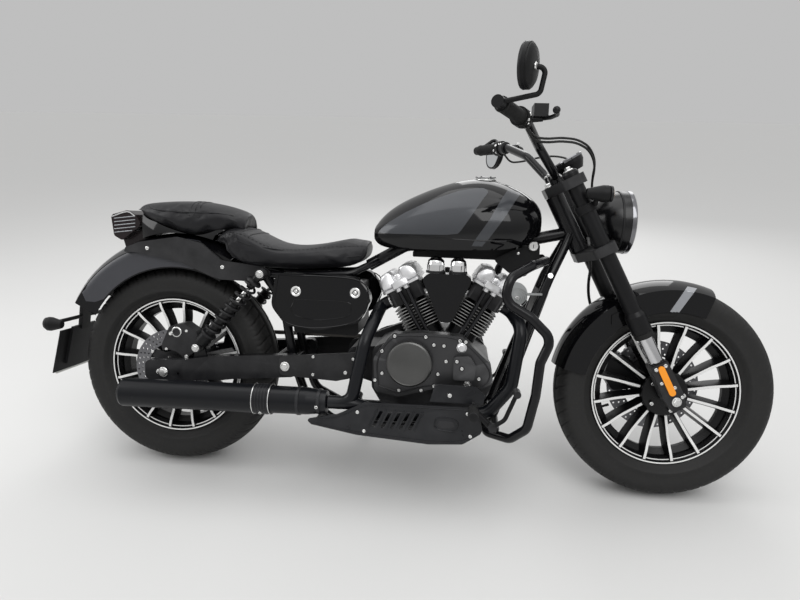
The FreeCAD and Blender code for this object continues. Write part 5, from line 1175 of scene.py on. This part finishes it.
def makeForkTrim():
    bright, dark, polished = bmesh.new(), bmesh.new(), bmesh.new()
    for hand in (-1, 1):
        local = forkFrame @ Matrix.Translation((0, hand * 108, 0))
        addLathe(polished, [(20.6, 123), (20.7, 124), (20.7, 214), (20.6, 215)], local, 48)
        addLathe(dark, [(20.8, 200), (26, 200), (27.4, 206), (27.4, 215.6), (20.8, 215.6)], local, 44,
            closed=True)
        addLathe(bright, [(0, 716.2), (14, 716.2), (14, 718), (12, 719.5), (0, 719.5)], local, 32)
        addLathe(bright, [(0, 719), (8.6, 719), (8.6, 726), (7.4, 727.4), (0, 727.4)], local, 6)
        for forward in (-14, 14):
            addHead(bright, forkFrame @ Vector((forward, hand * 131, 108)), (0, hand, 0), 5.5, "cap")
    fromBuild("stanchion_sleeves", polished, "stanchionChrome", "steering")
    fromBuild("dust_seals", dark, "gripRubber", "steering")
    fromBuild("fork_cap_nuts", bright, "boltSteel", "steering")


makeForkTrim()
print("steering trim is in")

# Engine: bolts round its covers, and those of the frame
coverBolts = [(711, 468), (688, 455), (675, 422), (677, 356), (657, 334), (728, 308), (793, 312), (830, 327),
    (840, 363), (825, 448), (801, 470), (854, 447), (862, 402), (893, 407), (908, 387), (899, 464),
    (916, 462), (958, 356)]
sideCoverBolts = [(414, 584), (590, 587)]
headsOn("clutch_cover_bolts", "clutch_cover crankcase", coverBolts, 5, "cap")
headsOn("generator_cover_bolts", "generator_cover crankcase", [(612, 344), (612, 408), (660, 436), (708, 452),
    (780, 456), (850, 456), (912, 456), (952, 424), (972, 398), (958, 346), (942, 306), (880, 298),
    (800, 294), (720, 292), (660, 312)], 5, "cap", hands=(1,))
headsOn("side_cover_bolts", "side_covers", sideCoverBolts, 6, "dome", (-1, 1))
headsOn("pivot_bolts", "pivot_covers swingarm main_frame", [(385, 358)], 11, "hex", (-1, 1))
headsOn("pivot_cover_screws", "pivot_covers", [(590, 392), (594, 352), (470, 338), (470, 392)], 4.5, "cap",
    (-1, 1))
headsOn("strut_bolts", "fender_struts", [(-63, 690), (175, 642)], 6.5, "dome", (-1, 1))
print("cover bolts are in")

# Engine: head covers, pushrod tubes, fins' bright edges and the clutch face
engine = {"crank": Vector((850, 0, 366)), "bank": 28.5, "finLow": 132, "finPitch": 9.5, "finThick": 3.2,
          "fins": 9, "coverLow": 272, "coverHigh": 330, "coverHalf": 92}


def bankFrame(sign):
    return Matrix.Translation(engine["crank"]) @ Matrix.Rotation(math.radians(engine["bank"] * sign), 4, "Y")


def makeTopEnd():
    covers, tubes, ends, edges, heads = (bmesh.new() for _ in range(5))
    low, high, half = engine["coverLow"], engine["coverHigh"], engine["coverHalf"]
    for sign in (-1, 1):
        local = bankFrame(sign)
        addPlate(covers, roundedRect(62, 91, 14), 8, local @ Matrix.Translation((0, 0, low)))
        for hand in (-1, 1):
            side = [(hand * x, z) for x, z in ((9, low + 7), (59, low + 7), (60.5, low + 22), (59, high - 24),
                (53, high - 12), (42, high - 3), (27, high), (16, high - 3), (10, high - 12))]
            addBar(covers, side, -half + 2, half - 2, 9, local)
            rib = [(hand * x, z) for x, z in ((58, low + 12), (62.4, low + 14), (62.4, low + 18),
                (58, low + 20))]
            addBar(covers, rib, -half + 8, half - 8, 2, local)
        middle = [(-12, low + 7), (12, low + 7), (12, high - 22), (8, high - 16), (-8, high - 16),
            (-12, high - 22)]
        addBar(covers, middle, -half + 10, half - 10, 6, local)
        shelf = [(-25, low + 2), (25, low + 2), (25, low + 20), (19, low + 24), (-19, low + 24),
            (-25, low + 20)]
        addBar(covers, shelf, -100.6, -80, 3, local)
        for place in (-1, 1):
            foot, top = local @ Vector((place * 7.8, -88, 97.2)), local @ Vector((place * 13, -88, low + 6))
            way = (top - foot).normalized()
            addTube(tubes, [foot, top], 6.2, 20)
            addLathe(ends, [(6, 0), (8.6, 0), (9, 3), (9, 10), (7.4, 12), (6, 12)], axisFrame(foot, way), 24,
                closed=True)
            addLathe(ends, [(6, 0), (8.6, 0), (9, 3), (9, 9), (7.2, 11), (6, 11)],
                axisFrame(top - way * 15, way), 24, closed=True)
        for x, y in ((-50, -74), (50, -74), (-50, 74), (50, 74), (-50, 0), (50, 0)):
            addHead(heads, local @ Vector((x * 0.99, y, high - 14)),
                local.to_3x3() @ Vector((math.copysign(0.6, x), 0, 0.8)), 5.4, "cap")
        for k in range(engine["fins"]):
            base = engine["finLow"] + engine["finPitch"] * k
            addDrilled(edges, roundedRect(58.5, 66.5, 18), [roundedRect(57.4, 65.4, 17)], base + 0.5,
                base + engine["finThick"] - 0.5, local)
    cover = fromBuild("rocker_cover_castings", covers, "engineSilver", smooth=38)
    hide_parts("rocker_covers")
    fromBuild("pushrod_tubes", tubes, "tubeBlack")
    fromBuild("pushrod_collars", ends, "engineSilver")
    fromBuild("fin_edges", edges, "finEdge", smooth=30)
    fromBuild("rocker_cover_bolts", heads, "boltSteel")
    lathe("clutch_face", [(66.4, 18), (67, 21), (65, 26), (61, 28.4), (57.6, 26.9), (54.5, 27.3), (40, 29.4),
        (20, 30.8), (0, 31.2)], "clutchGrey", "chassis", (757, -150, 392), (0, -1, 0), 96)
    for end, x, bore in (("rear", 819, 26.2), ("front", 884, 24.2)):
        lathe("dome_collar_" + end, [(bore, 0.3), (bore + 2.8, 0.3), (bore + 2.8, 5), (bore + 1.2, 7),
            (bore, 7)], "satinBlack", "chassis", (x, -98, 652), (0, 0, 1), 48, closed=True)


makeTopEnd()
print("engine top is in")


def lineOn(name, nodeNames, starts, way, radius, finish, close=False, round=3):
    # a raised line laid on the surface below its starting points
    build = bmesh.new()
    for path in starts:
        rays = [outermost(nodeNames, "chassis", start, way) for start in path]
        found = [hit + normal * 0.3 for hit, normal in rays if hit is not None]
        if len(found) > 2:
            addTube(build, smoothPath(found, round), radius, 8, close)
    return fromBuild(name, build, finish)


def sideLine(corners, hand):
    return [(x, hand * farOut, z) for x, z in corners]


# Belly cover, exhaust and foot controls

def makeLowerTrim():
    lineOn("belly_recess_rim", "belly_cover", [sideLine([(838, 232), (842, 250), (856, 258), (888, 256),
        (904, 246), (902, 228), (886, 220), (852, 222)], -1)], (0, 1, 0), 2.2, "exhaustBlack", close=True,
        round=4)
    build = bmesh.new()
    addBar(build, roundedOutline([(846, 234), (852, 250), (892, 248), (896, 234), (884, 228), (856, 228)]),
        -224.2, -223, 0.3, Matrix())
    fromBuild("belly_recess", build, "dialBlack")
    lineOn("belly_edges", "belly_cover", [sideLine([(500, 229), (560, 238), (640, 277), (700, 281),
        (800, 283), (900, 284), (950, 284)], -1), sideLine([(500, 214), (617, 199), (720, 193), (825, 187),
        (915, 194), (958, 220)], -1)], (0, 1, 0), 1.6, "exhaustBlack")
    slotLines = []
    for number in range(6):
        x = 650 + 26 * number
        slotLines.append(sideLine([(x + 2, 213), (x + 14, 241), (x + 26, 269)], -1))
    lineOn("belly_slot_ribs", "belly_cover", slotLines, (0, 1, 0), 2.4, "exhaustBlack", round=2)
    headsOn("belly_bolts", "belly_cover", [(620, 258), (930, 274), (940, 210), (640, 204)], 5, "cap")
    build = bmesh.new()
    upper = [(822, 296), (834, 342), (848, 348), (950, 346), (976, 322), (972, 296)]
    addBar(build, upper, -205, -200, 1.2, Matrix())
    fromBuild("belly_upper_panel", build, "exhaustBlack")
    build = bmesh.new()
    addHead(build, (878, -205, 318), (0, -1, 0), 6, "cap")
    fromBuild("belly_upper_bolt", build, "boltSteel")


def roundedOutline(corners, steps=4):
    # corner points turned into a smooth closed loop
    corners = [Vector((x, z)) for x, z in corners]
    count = len(corners)
    loop = []
    for k in range(count):
        a, b, c = corners[k - 1], corners[k], corners[(k + 1) % count]
        first, last = b + (a - b) * 0.3, b + (c - b) * 0.3
        for j in range(steps + 1):
            t = j / steps
            loop.append(tuple(first * (1 - t) ** 2 + b * 2 * t * (1 - t) + last * t * t))
    return loop


makeLowerTrim()


def makeExhaustTrim():
    local = Matrix.Translation((0, -197, 264)) @ Matrix.Rotation(math.radians(89), 4, "Y")
    bright, dark, end = bmesh.new(), bmesh.new(), bmesh.new()
    for along in (313, 362):
        addLathe(bright, [(43.6, along - 1), (45, along - 1), (45, along + 1), (43.6, along + 1)], local, 64,
            closed=True)
    for along in (322, 331, 340, 349):
        addLathe(dark, [(43.8, along), (44.9, along + 0.8), (44.9, along + 3.2), (43.8, along + 4)], local,
            64, closed=True)
    addLathe(end, [(21.4, -97), (21.4, -100), (23, -101.6), (27, -102), (36, -101), (38.5, -99.2),
        (38.5, -97.5)], local, 56, closed=True)
    addLathe(dark, [(20.6, -98), (19.4, -98), (19.4, -60), (20.6, -60)], local, 40, closed=True)
    for along, reach in ((440, 40.5), (500, 35.5)):
        addLathe(dark, [(reach - 1, along), (reach + 1.4, along + 0.8), (reach + 1.4, along + 9),
            (reach - 1, along + 10)], local, 56, closed=True)
    fromBuild("muffler_rings", bright, "boltSteel")
    fromBuild("muffler_bands", dark, "exhaustBlack")
    fromBuild("muffler_end", end, "satinBlack")
    bolts = bmesh.new()
    for x, z in ((502, 267), (337, 240)):
        headAt(bolts, "muffler", (x, -farOut, z), (0, 1, 0), 5, body="chassis")
    for sign in (-1, 1):
        frame = bankFrame(sign)
        face = frame @ Vector((sign * 52.5, -40, 246))
        way = frame.to_3x3() @ Vector((sign, 0, 0))
        addLathe(bolts, [(19.4, 0), (25, 0), (25, 5), (19.4, 5)], axisFrame(face, way), 36, closed=True)
        for y in (-66, -14):
            addHead(bolts, frame @ Vector((sign * 53, y, 246)), way, 5.5, "hex")
    fromBuild("header_flanges", bolts, "boltSteel")


makeExhaustTrim()


pegRings = {"count": 9, "first": 5, "pitch": 7}


def makePegs():
    ribs, caps = bmesh.new(), bmesh.new()
    for hand in (-1, 1):
        local = axisFrame((944, hand * 232, 290), (0, hand, 0))
        profile = [(13.1, 3)]
        for k in range(pegRings["count"]):
            base = pegRings["first"] + k * pegRings["pitch"]
            profile += [(13.2, base), (15, base + 1), (15, base + 4.6), (13.2, base + 5.6)]
        profile += [(13.1, 69)]
        addLathe(ribs, profile, local, 8)
        addLathe(caps, [(0, 70.4), (10, 70.4), (13, 69.6), (13, 66)], local, 32)
        addHead(caps, (944, hand * 228, 306), (0, 0, 1), 4.5, "cap")
    fromBuild("peg_ribs", ribs, "gripRubber")
    fromBuild("peg_caps", caps, "satinBlack")


makePegs()
print("lower trim is in")

# Rear end: lamp stripes, fender panel, plate, signals and hub hardware

fenderPanel = {"x": 20, "z": 330, "radius": 349, "wide": 86, "first": 72, "sweep": 76, "steps": 30,
               "across": 5}


def makeRearTrim():
    arc = fenderPanel
    stripes = (732, 743, 754, 765, 776)
    for hand, name in bothSides:
        rows = [[(x, hand * 300, z + (x + 205) * 0.13) for x in (-204, -190, -175, -160, -146, -134)]
                for z in stripes]
        lineOn("lamp_stripes_" + name, "tail_lamp", rows, (0, -hand, 0), 1.5, "silverPaint", round=2)
    rows = [[(-500, y, z) for y in (-44, -30, -15, 0, 15, 30, 44)] for z in stripes]
    lineOn("lamp_stripes_back", "tail_lamp", rows, (1, 0, 0), 1.5, "silverPaint", round=2)
    edge = [(-211, 782), (-161, 798), (-135, 785), (-119, 762)]
    for hand, name in bothSides:
        lineOn("lamp_rim_" + name, "tail_lamp", [sideLine(edge, hand)], (0, -hand, 0), 1.8, "lampRim",
            round=4)
    for hand, name in bothSides:
        build = bmesh.new()
        rows = []
        for k in range(arc["steps"] + 1):
            turn = math.radians(arc["first"] + arc["sweep"] * k / arc["steps"])
            taper = min(1, k / 3, (arc["steps"] - k) / 3) ** 0.5
            row = []
            for j in range(arc["across"] + 1):
                x, z = onCircle(arc["radius"] + (j / arc["across"] - 0.5) * arc["wide"] * taper, turn)
                hit, normal = surfaceFrom("rear_fender", "chassis", (arc["x"] + x, hand * 300, arc["z"] + z),
                    (0, -hand, 0))
                row.append(build.verts.new(hit + normal * 0.5) if hit and hit.y * hand > 40 else None)
            rows.append(row)
        for first, second in zip(rows, rows[1:]):
            for j in range(arc["across"]):
                corners = [each for each in (first[j], first[j + 1], second[j + 1], second[j]) if each]
                if len(corners) > 2:
                    build.faces.new(corners)
        fromBuild("fender_panel_" + name, build, "fenderGrey", smooth=60)


makeRearTrim()

strutTip = {"from": -90, "share": 0.5}


def makeStruts():
    # the plates' rear tips end at the fender's edge
    plates = nodes["fender_struts"].data.copy()
    plates.materials.clear()
    back = places["chassis"].inverted()
    for vertex in plates.vertices:
        spot = back @ vertex.co
        if spot.x < strutTip["from"]:
            spot.x = strutTip["from"] + (spot.x - strutTip["from"]) * strutTip["share"]
            vertex.co = places["chassis"] @ spot
    piece = putMesh("fender_strut_plates", plates, "satinBlack", "chassis")
    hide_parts("fender_struts")


makeStruts()

plateSize = {"wide": 200, "tall": 130, "thick": 1.6}


def makePlate():
    # the blank plate stands on the back of its holder, found by a ray from behind
    hit, facing = surfaceFrom("number_plate_holder", "chassis", (-farOut, 0, 330), (1, 0, 0))
    spot = hit + facing * 0.3
    right = Vector((0, 1, 0))
    up = facing.cross(right).normalized()
    if up.z < 0:
        up = -up
    local = Matrix.Translation(spot) @ Matrix(((right.x, up.x, facing.x), (right.y, up.y, facing.y),
        (right.z, up.z, facing.z))).to_4x4()
    build, rim, bolts = bmesh.new(), bmesh.new(), bmesh.new()
    half, tall, thick = plateSize["wide"] / 2 - 6, plateSize["tall"] / 2 - 5, plateSize["thick"]
    addPlate(build, roundedRect(half, tall, 8), thick, local)
    addDrilled(rim, roundedRect(half - 3, tall - 3, 6), [roundedRect(half - 5.5, tall - 5.5, 5)], thick,
        thick + 0.5, local)
    for x in (-half + 24, half - 24):
        addHead(bolts, local @ Vector((x, tall - 12, thick)), facing, 4.5, "dome")
    fromBuild("blank_plate", build, "plateWhite")
    fromBuild("plate_rim", rim, "dialBlack")
    fromBuild("plate_bolts", bolts, "boltSteel")


makePlate()


def makeLamps():
    # glass at the outer end of each signal
    for end, body, ahead, place, radius in (("front", "steering", 1, (1276, 152, 887), 19.5),
            ("rear", "chassis", -1, (-340, 170, 453), 15)):
        for hand, name in bothSides:
            key, facing = f"{end}_{name}", (ahead, 0, 0)
            start = (place[0] + ahead * 120, hand * place[1], place[2])
            hit, _ = surfaceFrom(end + "_turn_signals", body, start, (-ahead, 0, 0))
            lathe("signal_glass_" + key, [(radius, -4), (radius + 0.6, 0.4), (radius * 0.8, 3.4),
                (radius * 0.4, 4.8), (0, 5.2)], "signalGlass", body, hit, facing, 32)
            lathe("signal_rim_" + key, [(radius, -5), (radius + 2.4, -5), (radius + 2.6, 0),
                (radius + 1, 1.4), (radius, 1)], "satinBlack", body, hit, facing, 32, closed=True)


makeLamps()


def makeHubs():
    for key, axle, body, radius in (("front_axle", frontAxle, "steering", 10.5),
            ("rear_axle", rearAxle, "chassis", 11.5)):
        nuts = bmesh.new()
        for hand in (-1, 1):
            headAt(nuts, key, axle + Vector((0, hand * 400, 0)), (0, -hand, 0), radius, "hex", (0, hand, 0),
                body)
        fromBuild(key + "_nuts", nuts, "boltSteel", body)
    headsOn("rear_caliper_bolts", "rear_brake_caliper", [(92, 396), (10, 430), (24, 372), (60, 360)], 6,
        "cap")
    ring = bmesh.new()
    hit, _ = surfaceFrom("rear_brake_caliper", "chassis", (28, -farOut, 435), (0, 1, 0))
    addLathe(ring, [(12, -1), (16, -1), (16.4, 1.4), (15, 2.6), (12.6, 2.6), (12, 1)],
        axisFrame(hit, (0, -1, 0)), 40, closed=True)
    fromBuild("caliper_ring", ring, "boltSteel")
    headsOn("front_caliper_bolts", "front_brake_caliper", [(1406, 380), (1420, 350), (1392, 410)], 5.5, "cap",
        (1,), "steering")
    hub = bmesh.new()
    for x, y in ringLoop(50, 5):
        addHead(hub, frontAxle + Vector((x, -53.2, y)), (0, -1, 0), 5.6, "cap")
    fromBuild("front_hub_bolts", hub, "boltSteel", "front_wheel")
    out = Vector((math.cos(math.radians(200)), 0, math.sin(math.radians(200))))
    for name, axle, body in (("front_valve", frontAxle, "front_wheel"),
            ("rear_valve", rearAxle, "rear_wheel")):
        lathe(name, [(3.6, -4), (3.6, 20), (4.2, 21), (4.2, 29), (3.2, 30.5), (0, 30.5)], "gripRubber", body,
            axle + out * 188, -out, 16)


makeHubs()
print("rear end and hubs are in")

# Frame and body fittings: bosses, ridges, lock, clamps, radiator and guard hardware

def makeCaseDetail():
    bosses = bmesh.new()
    for x, z in coverBolts:
        hit, normal = outermost("clutch_cover crankcase", "chassis", (x, -farOut, z), (0, 1, 0))
        if hit is not None:
            addLathe(bosses, [(0, -3), (9.4, -3), (8.6, 0.0), (5.6, 0.1)], axisFrame(hit, (0, -1, 0)), 24)
    fromBuild("clutch_cover_bosses", bosses, "engineBlack")
    ridge = [(668, 318), (664, 396), (706, 462), (788, 472), (896, 466), (976, 398), (985, 352), (938, 324),
        (832, 330), (728, 300)]
    lineOn("clutch_cover_ridge", "clutch_cover crankcase", [sideLine(ridge, -1)], (0, 1, 0), 2.4,
        "engineBlack", close=True, round=5)
    lineOn("generator_cover_ridge", "generator_cover crankcase", [sideLine([(608, 338), (608, 414),
        (702, 454), (916, 458), (976, 398), (952, 308), (704, 288)], 1)], (0, -1, 0), 2.4, "engineBlack",
        close=True, round=5)
    filler = [(0, 12), (9, 12), (11, 10.6), (13, 8), (13, 2), (15, 1), (15, -2)]
    plug = [(0, 9), (7, 9), (8, 8), (8, 2), (12, 1.4), (12, -2)]
    for name, x, z, profile, finish, sides in (("oil_filler", 905, 444, filler, "engineSilver", 10),
                                               ("drain_plug", 925, 336, plug, "boltSteel", 6)):
        hit, _ = surfaceFrom("clutch_cover", "chassis", (x, -farOut, z), (0, 1, 0))
        lathe(name, profile, finish, "chassis", hit or (x, -150, z), (0, -1, 0), sides)


makeCaseDetail()


def makeNeckLock():
    hit, _ = surfaceFrom("neck_covers", "chassis", (1098, -farOut, 738), (0, 1, 0))
    lathe("seat_lock", [(0, 7), (8, 7), (8, 9), (12.5, 9.4), (14.5, 7), (15, 0.3), (13, -2)], "boltSteel",
        "chassis", hit, (0, -1, 0), 40)
    # the key slot is a thin dark plate on the lock face: painted shade standing in for the slot's hollow
    build = bmesh.new()
    addPlate(build, [(-1, -5), (1, -5), (1, 5), (-1, 5)], 0.5,
        axisFrame(hit + Vector((0, -7.2, 0)), (0, -1, 0)))
    fromBuild("seat_lock_slot", build, "dialBlack")
    headsOn("neck_cover_screws", "neck_covers", [(1056, 716), (1104, 676)], 4.5, "dome", (-1, 1))


makeNeckLock()


def makeFuelCap():
    hit, _ = surfaceFrom("fuel_cap", "chassis", (952, 0, 1200), (0, 0, -1))
    lathe("fuel_cap_ring", [(24, 0.2), (31, 0.2), (31.5, 1.6), (29, 2.6), (25, 2.4), (24, 1.4)], "darkChrome",
        "chassis", hit, (0, 0, 1), 56, closed=True)
    bolts = bmesh.new()
    for x, y in ringLoop(27.8, 6):
        addHead(bolts, hit + Vector((x, y, 2.4)), (0, 0, 1), 2.2, "cap")
    fromBuild("fuel_cap_screws", bolts, "satinBlack")
    build = bmesh.new()
    addPlate(build, roundedRect(14, 8, 7), 2.2, Matrix.Translation(hit + Vector((0, 0, 0.2))))
    addPlate(build, roundedRect(5, 1, 0.9), 0.4, Matrix.Translation(hit + Vector((3, 0, 2.4))))
    fromBuild("fuel_cap_flap", build, "boltSteel")


makeFuelCap()


def makeClampDetail():
    bright, carrier = bmesh.new(), bmesh.new()
    for hand in (-1, 1):
        for up in (475, 684):
            headAt(bright, "fork_clamps", forkFrame @ Vector((200, hand * 74, up)), -forkForward, 5.4)
        for forward in (-9, 9):
            start = Vector((1146, hand * 30, 938)) + forkForward * forward + forkUp * 60
            headAt(bright, "handlebar", start, -forkUp, 4.6, facing=forkUp)
        for forward, up in ((20, 6), (12, 40), (-16, 66)):
            start = forkFrame @ Vector((forward, hand * 300, up))
            headAt(carrier, "fork_sliders", start, (0, -hand, 0), 5, facing=(0, hand, 0))
    headAt(bright, "fork_clamps", forkFrame @ Vector((-43, 0, 900)), -forkUp, 14, "hex", forkUp)
    fromBuild("clamp_bolts", bright, "boltSteel", "steering")
    fromBuild("fork_carrier_bolts", carrier, "boltSteel", "steering")


makeClampDetail()


radiatorFins = {"side": 16, "low": 14, "high": 12, "pitch": 5.5, "radius": 1.1}


def makeRadiatorFins():
    row = radiatorFins
    fins = bmesh.new()
    back = places["chassis"].inverted()
    spots = [back @ vertex.co for vertex in nodes["radiator"].data.vertices]
    low, high = (Vector([pick(spot[k] for spot in spots) for k in range(3)]) for pick in (min, max))
    z = low.z + row["low"]
    while z < high.z - row["high"]:
        rays = [surfaceFrom("radiator", "chassis", (low.x + (high.x - low.x) * 4, y, z),
            (-1, 0, 0)) for y in (low.y + row["side"], 0, high.y - row["side"])]
        if all(hit for hit, _ in rays):
            addTube(fins, [hit + normal * 0.4 for hit, normal in rays], row["radius"], 6)
        z += row["pitch"]
    fromBuild("radiator_fins", fins, "finEdge")


makeRadiatorFins()


def makeHornFace():
    hit, _ = surfaceFrom("horn", "chassis", (1056, -farOut, 592), (0, 1, 0))
    rows = bmesh.new()
    for k in range(4):
        radius = 8 + k * 6
        addLathe(rows, [(radius, -0.5), (radius + 0.9, 1.0), (radius + 1.8, -0.5)],
            axisFrame(hit, (0, -1, 0)), 40)
    fromBuild("horn_rings", rows, "hornGrey")
    bolts = bmesh.new()
    addHead(bolts, hit + Vector((0, -0.6, 0)), (0, -1, 0), 4.5, "hex")
    fromBuild("horn_nut", bolts, "boltSteel")


makeHornFace()
headsOn("guard_bolts", "engine_guards main_frame", [(1151, 655), (1116, 668), (1059, 632), (1077, 378),
    (1038, 303)], 6, "hex", (-1, 1))
headsOn("swingarm_bolts", "swingarm", [(-16, 315)], 9, "dome", (-1, 1))
headsOn("side_plate_bolt", "pivot_covers crankcase", [(568, 350)], 5.5, "cap", (-1, 1))
headsOn("caliper_pins", "rear_brake_caliper", [(-6, 380), (60, 440)], 5, "dome")
print("fittings are in")

# Side covers, tank and seats: rims and stitching

seamBow, noseTaper = 0.0006, 0.26  # how the pad's seams bend, and how the seat narrows to its nose


def makeBodyLines():
    rim = [(360, 630), (588, 626), (630, 574), (598, 506), (484, 478), (388, 488), (346, 538)]
    for hand, name in bothSides:
        lineOn("side_cover_rim_" + name, "side_covers", [sideLine(rim, hand)], (0, -hand, 0), 2.0,
            "glossBlack", close=True, round=6)
        boss = bmesh.new()
        for x, z in sideCoverBolts:
            hit, _ = surfaceFrom("side_covers", "chassis", (x, hand * farOut, z), (0, -hand, 0))
            if hit:
                addLathe(boss, [(8, 0.2), (14, 0.2), (15, 1.8), (13, 2.6), (9, 1.2)],
                    axisFrame(hit, (0, hand, 0)), 36, closed=True)
        fromBuild("side_cover_washers_" + name, boss, "boltSteel")
        panel = [(410, 560), (560, 560), (578, 540), (566, 516), (480, 502), (418, 510), (398, 530)]
        lineOn("side_cover_panel_" + name, "side_covers", [sideLine(panel, hand)], (0, -hand, 0), 1.2,
            "glossBlack", close=True, round=6)
        seam = [(640, 762), (760, 756), (900, 752), (1010, 752), (1086, 762)]
        lineOn("tank_seam_" + name, "fuel_tank", [sideLine(seam, hand)], (0, -hand, 0), 1.6, "glossBlack",
            round=6)
    for number, x in enumerate((60, 74, 88)):
        across = [(x + seamBow * y * y, y, above) for y in range(-88, 89, 16)]
        seamOn(f"passenger_seat_seam_{number}", "passenger_seat_cushion", across, 1.3)
    stitches = bmesh.new()
    for hand in (-1, 1):
        rays = [surfaceFrom("rider_seat_cushion", "chassis", (x, hand * (100 - max(0, x - 420) * noseTaper),
            above), (0, 0, -1)) for x in range(180, 600, 6)]
        path = [ray for ray in rays if ray[0]]
        for k in range(0, len(path) - 1, 2):
            a, b = path[k][0] + path[k][1] * 0.3, path[k + 1][0] + path[k + 1][1] * 0.3
            addTube(stitches, [a, (a + b) / 2 + path[k][1] * 0.5, b], 0.6, 6)
    fromBuild("seat_stitches", stitches, "cableBlack")


makeBodyLines()
print("body lines are in")
